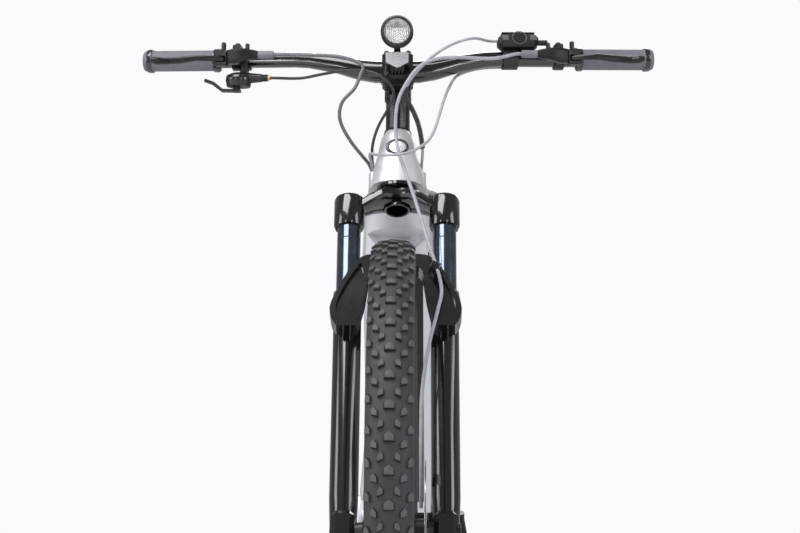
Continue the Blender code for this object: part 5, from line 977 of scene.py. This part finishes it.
def make_ribbed_sleeves():
    """Two ribbed sleeves in front of the headset's spacers, in a grey lighter than their own black as a
    painted highlight on the ribs.
    """
    bm = bmesh.new()
    low = STACK_BASE - 0.004
    for x in (-0.0068, 0.0072):
        profile = [(0, low)]
        for k in range(SLEEVE_RIBS):
            height = low + RIB_PITCH * k
            profile += [(0.0022, height), (0.0042, height + 0.0006), (0.0042, height + 0.0018),
                        (0.0022, height + 0.0024)]
        turned(bm, profile + [(0, low + 0.0546)], STEERING @ shift(x, -0.0216, 0), 16)
    piece("ribbed_sleeves", bm, dull_housing, "steering", 60)


def make_crown_mouth():
    """Rim of the steerer's opening under the crown."""
    bm = bmesh.new()
    turned(bm, [(0.015, CROWN_FOOT + 0.006), (0.015, CROWN_FOOT - 0.0034), (0.0158, CROWN_FOOT - 0.004),
                (0.0172, CROWN_FOOT - 0.004), (0.018, CROWN_FOOT - 0.003), (0.0184, CROWN_FOOT + 0.006)],
           STEERING, 48, True)
    piece("crown_mouth", bm, gloss_black, "steering")


def make_cable_ties():
    bm = bmesh.new()
    for side in (1, -1):
        for drop in (0.0, 0.00375):
            place = shift(side * 0.0232, -0.03, -0.016 - drop)
            block(bm, (0.0012, 0.0034, 0.009), CLAMP @ place @ Matrix.Rotation(side * 0.25, 4, "Y"), 0.0003)
    piece("cable_ties", bm, plastic, "steering")


def make_port_grommets():
    bm = bmesh.new()
    for side in (1, -1):
        port = STEERING @ shift(side * PORT_SPREAD, PORT_BACK, HEAD_BOTTOM + 0.0262)
        block(bm, (0.0088, 0.0216, 0.0024), port, 0.0011)
    piece("port_grommets", bm, plastic, "frame")


def make_brake_bolts(side, tag):
    bm = bmesh.new()
    for x, y, z, radius, head in BRAKE_BOLTS:
        bolt(bm, HANDS[side] @ shift(-side * x, y, z), radius, head)
    piece("brake_bolts_" + tag, bm, dark_steel, "steering")


def make_boot_sleeve(side, tag):
    """A ribbed boot over the hose where it leaves its brake."""
    bm = bmesh.new()
    rings = []
    for k in range(9):
        along = 0.0632 + 0.0024 * k
        rings += [(0.0058, along), (0.0058, along + 0.0015), (0.0054, along + 0.0017),
                  (0.0054, along + 0.0023)]
    outlet = HANDS[side] @ shift(0, *HOSE_OUTLET)
    outlet = outlet @ Matrix.Rotation(-side * pi / 2, 4, "Y")
    turned(bm, [(0.0053, 0.063)] + rings + [(0.003, 0.0858), (0.0027, 0.088)], outlet, 24)
    piece("boot_sleeve_" + tag, bm, boot_grey, "steering", 40)


def make_lever_tip(side, tag):
    """The thick rounded end of a brake lever."""
    bm = bmesh.new()
    pivot = Vector((-side * LEVER_PIVOT[0], *LEVER_PIVOT[1:]))
    path = [pivot + Vector((side * x, y, z)) for x, y, z in LEVER_TIP]
    pipe(bm, path, [0.004, 0.005, 0.0054, 0.0044, 0.0018], 16, HANDS[side])
    piece("lever_tip_" + tag, bm, anodised, "brake_lever_" + tag, 60)


def make_grip_rings(side, tag):
    """A ring at each end of a grip."""
    along = HANDS[side] @ Matrix.Rotation(side * pi / 2, 4, "Y")
    bm = bmesh.new()
    turned(bm, [(0.011, 0.107), (0.015, 0.107), (0.0163, 0.1062), (0.017, 0.1046), (0.017, 0.0996),
                (0.0163, 0.099), (0.015, 0.099)], along, 40)
    turned(bm, [(0.0152, 0.0076), (0.0166, 0.0072), (0.0168, 0.0062), (0.0168, 0.0008), (0.016, 0.0002),
                (0.0114, 0.0002)], along, 40)
    piece("grip_rings_" + tag, bm, gloss_plastic, "steering")


def make_shifter_trim():
    """The shifter's round cap, and the knurled barrel and brass ferrule of its cable."""
    at = HANDS[-1]
    foot = at @ Matrix.Translation(SHIFTER_FOOT)
    bm = bmesh.new()
    turned(bm, [(0, 0.01), (0.006, 0.0098), (0.01, 0.0088), (0.013, 0.0074)], foot, 40)
    turned(bm, [(0.017, 0.0046), (0.0181, 0.0034), (0.019, -0.001), (0.0188, -0.0026)], foot, 40)
    piece("shifter_cap", bm, gloss_plastic, "steering")
    bm = bmesh.new()
    barrel = at @ shift(0.071, *SHIFT_OUTLET)
    for angle in circle(KNURLS):
        turn = barrel @ Matrix.Rotation(angle, 4, "X")
        block(bm, (0.0084, 0.001, 0.001), turn @ shift(0, 0, 0.0045))
    piece("barrel_knurl", bm, plastic, "steering")
    bm = bmesh.new()
    turned(bm, [(0.0022, 0.0762), (0.0035, 0.0762), (0.0035, 0.079), (0.0022, 0.0796)],
           at @ shift(0, *SHIFT_OUTLET) @ ALONG_X, 20)
    piece("barrel_ferrule", bm, brass, "steering")


def make_remote_trim():
    """Screen, two side keys and the ring round the button of the remote."""
    remote = hand(1, REMOTE_PLACE) @ shift(0.012, -0.004, 0.0235)
    remote = remote @ Matrix.Rotation(-radians(18), 4, "X")
    bm = bmesh.new()
    block(bm, (0.048, 0.022, 0.0012), remote @ shift(0, 0.0006, 0.011), 0.0005)
    piece("remote_screen", bm, gloss_plastic, "steering")
    bm = bmesh.new()
    for x in (-0.02, 0.0205):
        block(bm, (0.009, 0.0014, 0.008), remote @ shift(x, -0.015, 0), 0.0005)
    turned(bm, [(0.0092, 0.0006), (0.01, 0.001), (0.0106, 0.0004), (0.0106, -0.0008)],
           remote @ shift(0, -0.015, 0) @ FACING, 32)
    piece("remote_keys", bm, grey_panel, "steering")


make_stem_bolts()
make_ribbed_sleeves()
make_crown_mouth()
make_cable_ties()
make_port_grommets()
for side, tag in SIDES:
    make_brake_bolts(side, tag)
    make_boot_sleeve(side, tag)
    make_lever_tip(side, tag)
    make_grip_rings(side, tag)
make_shifter_trim()
make_remote_trim()


def spread(name):
    """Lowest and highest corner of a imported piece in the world."""
    ob = nodes[name]
    corners = [ob.matrix_world @ Vector(corner) for corner in ob.bound_box]
    return (Vector([min(c[k] for c in corners) for k in range(3)]),
            Vector([max(c[k] for c in corners) for k in range(3)]))


BADGE_STRETCH = 1.18


def make_badge():
    """A blank oval boss with a dark rim, laid on the front of the head tube."""
    head = nodes["head_tube"]
    eye = STEERING @ Vector((0, -0.2, BADGE_HEIGHT))
    look = (STEERING.to_3x3() @ Vector((0, 1, 0))).normalized()
    home = head.matrix_world.inverted()
    hit, at, _, _ = head.ray_cast(home @ eye, home.to_3x3() @ look)
    spot = (head.matrix_world @ at) if hit else STEERING @ Vector((0, -0.03, BADGE_HEIGHT))
    oval = Matrix.Diagonal((BADGE_STRETCH, 1.0, 1.0, 1.0))
    place = Matrix.Translation(spot) @ STEERING.to_3x3().to_4x4() @ FACING @ oval
    bm = bmesh.new()
    turned(bm, [(0.0098, -0.003), (0.0098, 0.001), (0.0106, 0.0016), (0.0128, 0.0012), (0.0136, 0.0002),
                (0.0136, -0.004)], place, 48)
    piece("boss_rim", bm, gloss_black, "frame", 60)
    bm = bmesh.new()
    turned(bm, [(0, 0.0014), (0.005, 0.0012), (0.0098, 0.0003), (0.01, -0.003)], place, 48)
    piece("boss", bm, silver, "frame", 60)


make_badge()


# Hardware on the wheels, pedals, fork and frame
ROTOR_BOLTS = 6
ROTOR_BOLT_CIRCLE = 0.022
PIN_SPREAD = 0.034
HOSE_CLIP = Vector((0.0535, -0.4655, 0.717))
MOTOR_FACE = 0.0412
MOTOR_BOLTS = ((-0.088, 0.036), (-0.05, 0.058), (0.05, 0.066), (0.066, 0.01), (-0.074, -0.012))
STAND_FOOT = Vector((0.178, REAR_AXLE.y - 0.125, 0.0))
STAND_PIVOT = Vector((0.101, REAR_AXLE.y - 0.046, REAR_AXLE.z - 0.01))
SEAT_CLAMP = BRACKET + SEAT_LINE * 0.446


def make_rotor_bolts(node, matrix, body):
    face = spread(node)[1].x
    bm = bmesh.new()
    for turn in circle(ROTOR_BOLTS):
        place = Matrix.Translation(on_wheel(matrix, turn, ROTOR_BOLT_CIRCLE, face))
        bolt(bm, place @ ALONG_X, 0.0038, 0.0022)
    piece(node + "_bolts", bm, dark_steel, body)


def make_pedal_pins(tag):
    """Grip pins on both faces of a pedal."""
    low, high = spread("pedal_" + tag)
    middle = (low + high) / 2
    bm = bmesh.new()
    for x in (-PIN_SPREAD, PIN_SPREAD):
        for y in (-0.82, -0.3, 0.3, 0.82):
            for flip, height in ((0, high.z), (pi, low.z)):
                place = shift(middle.x + x, middle.y + y * (high.y - middle.y), height)
                turned(bm, [(0, 0.0022), (0.0014, 0.0022), (0.0018, 0.0018), (0.0018, -0.002)],
                       place @ Matrix.Rotation(flip, 4, "X") @ shift(0, 0, -0.0024), 8)
    piece("pedal_pins_" + tag, bm, steel, "pedal_" + tag)


def make_caliper_bolts(node, body):
    """Two bolts and the round piston cap on a caliper's outer face."""
    low, high = spread(node)
    middle = (low + high) / 2
    face = high.x - 0.0004
    bm = bmesh.new()
    for off in (-0.014, 0.014):
        bolt(bm, shift(face, middle.y + off * 0.6, middle.z + off) @ ALONG_X, 0.004, 0.0028)
    turned(bm, [(0, 0.0016), (0.009, 0.0016), (0.0102, 0.0006), (0.0102, -0.001)],
           shift(face, middle.y, middle.z) @ ALONG_X, 28)
    piece(node + "_bolts", bm, dark_steel, body)


def make_hose_clip():
    """The clip on the fork's arch that holds the front hose, with the ends of its tie."""
    bm = bmesh.new()
    block(bm, (0.013, 0.01, 0.01), Matrix.Translation(HOSE_CLIP) @ Matrix.Rotation(0.35, 4, "Y"), 0.0016)
    block(bm, (0.01, 0.008, 0.007), Matrix.Translation(HOSE_CLIP + Vector((0.001, 0.008, -0.002))), 0.001)
    for end in (((-0.004, -0.005, 0.003), (-0.009, -0.007, 0.01), (-0.01, -0.008, 0.017)),
                ((0.004, -0.004, -0.004), (0.01, -0.006, -0.013), (0.0125, -0.006, -0.019))):
        pipe(bm, [HOSE_CLIP + Vector(point) for point in end], [0.0011, 0.0011, 0.0008], 6)
    piece("hose_clip", bm, gloss_plastic, "fork_lowers")


def make_motor_bolts():
    bm = bmesh.new()
    for side in (1, -1):
        for y, z in MOTOR_BOLTS:
            place = Matrix.Translation(BRACKET + Vector((side * MOTOR_FACE, y, z)))
            bolt(bm, place @ Matrix.Rotation(side * pi / 2, 4, "Y"), 0.0038, 0.002)
    piece("motor_bolts", bm, dark_steel, "frame")


def make_stand_foot():
    """Rubber foot on the end of the kickstand."""
    bm = bmesh.new()
    run = (STAND_PIVOT - STAND_FOOT).normalized()
    pipe(bm, [STAND_FOOT + run * h for h in (0.004, 0.006, 0.021, 0.025)],
         [0.01, 0.0122, 0.0108, 0.0085], 20)
    piece("stand_foot", bm, rubber, "kickstand")


def make_seat_clamp():
    """The ears of the seat clamp with their bolt."""
    bm = bmesh.new()
    bolt(bm, Matrix.Translation(SEAT_CLAMP + Vector((0.015, 0.024, 0.0))) @ ALONG_X, 0.0036, 0.003)
    block(bm, (0.026, 0.01, 0.01), Matrix.Translation(SEAT_CLAMP + Vector((0, 0.025, 0.0))), 0.002)
    piece("seat_clamp_ears", bm, anodised, "frame")


make_rotor_bolts("front_brake_rotor", FRONT_WHEEL, "front_wheel")
make_rotor_bolts("rear_brake_rotor", REAR_WHEEL, "rear_wheel")
make_pedal_pins("left")
make_pedal_pins("right")
make_caliper_bolts("front_caliper", "fork_lowers")
make_caliper_bolts("rear_caliper", "frame")
make_hose_clip()
make_motor_bolts()
make_stand_foot()
make_seat_clamp()


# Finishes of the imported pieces
dress(silver, "head_tube", "down_tube", "top_tube", "seat_tube", "motor_cradle", "rear_stays_left",
      "rear_stays_right")
dress(gloss_black, "fork_crown_and_steerer", "fork_lowers", "handlebar")
dress(anodised, "front_caliper", "rear_caliper", "front_hub_and_spokes", "rear_hub_and_spokes", "front_rim",
      "rear_rim", "front_thru_axle", "rear_thru_axle", "stem", "stem_faceplate", "stem_top_cap", "crank_left",
      "crank_right", "derailleur_body", "derailleur_cage", "brake_master_left", "brake_master_right",
      "brake_lever_left", "brake_lever_right", "headset_cover_and_spacers", "pedal_left", "pedal_right",
      "seatpost", "kickstand")
dress(plastic, "battery_cover", "motor", "shifter_pod", "shift_paddle", "assist_remote", "light_bracket",
      "headlight")
dress(clear, "headlight_lens")
dress(prism_finish, "front_reflector")
dress(gloss_plastic, "remote_button")
dress(rubber, "grip_left", "grip_right")
dress(steel, "front_brake_rotor", "rear_brake_rotor", "saddle_rails")
make_lamp_shell()
make_lamp_optics()
make_reflector_catches()


# Studio: pale floor, plain white surroundings and soft lights, each with its place, size and power
FLOOR_REACH = 9
LIGHT_AIM = Vector((0, -0.2, 0.6))
LIGHTS = (("key", (-0.9, -1.4, 3.2), 1.8, 1.8, 80), ("fill", (2.6, -1.6, 1.8), 1.2, 1.6, 26),
          ("side", (-2.6, -1.2, 1.4), 1.0, 1.6, 22), ("back", (0.5, 2.6, 2.6), 2.0, 2.0, 40),
          ("left strip", (0.9, -2.6, 0.9), 0.14, 1.8, 9), ("right strip", (-1.1, -2.4, 0.9), 0.14, 1.8, 9))


def make_stage():
    mesh = bpy.data.meshes.new("floor")
    corners = [(x * FLOOR_REACH, y * FLOOR_REACH, 0) for x, y in ((-1, -1), (1, -1), (1, 1), (-1, 1))]
    mesh.from_pydata(corners, [], [(0, 1, 2, 3)])
    made, tree, shader = new_material("floor")
    shader.inputs["Base Color"].default_value = (0.86, 0.86, 0.87, 1)
    shader.inputs["Roughness"].default_value = 0.7
    mesh.materials.append(made)
    floor = bpy.data.objects.new("floor", mesh)
    floor.location.z = -0.0005
    bpy.context.scene.collection.objects.link(floor)
    world = bpy.data.worlds.new("studio")
    bpy.context.scene.world = world
    world.use_nodes = True
    tree = world.node_tree
    tree.nodes.clear()
    path = add(tree, "LightPath")
    seen = add(tree, "Background", inputs={"Color": (0.95, 0.957, 0.975, 1), "Strength": 1.0})
    soft = add(tree, "Background", inputs={"Color": (1, 1, 1, 1), "Strength": 0.3})
    mix = add(tree, "MixShader", inputs={
        0: path.outputs["Is Camera Ray"], 1: soft.outputs[0], 2: seen.outputs[0]})
    output = add(tree, "OutputWorld")
    tree.links.new(mix.outputs[0], output.inputs["Surface"])
    for name, at, wide, tall, power in LIGHTS:
        data = bpy.data.lights.new(name, "AREA")
        data.shape = "RECTANGLE"
        data.size = wide
        data.size_y = tall
        data.energy = power
        lamp = bpy.data.objects.new(name, data)
        lamp.location = at
        aim = LIGHT_AIM - Vector(at)
        lamp.rotation_euler = aim.to_track_quat("-Z", "Y").to_euler()
        bpy.context.scene.collection.objects.link(lamp)


make_stage()
bpy.context.scene.view_settings.view_transform = "Standard"
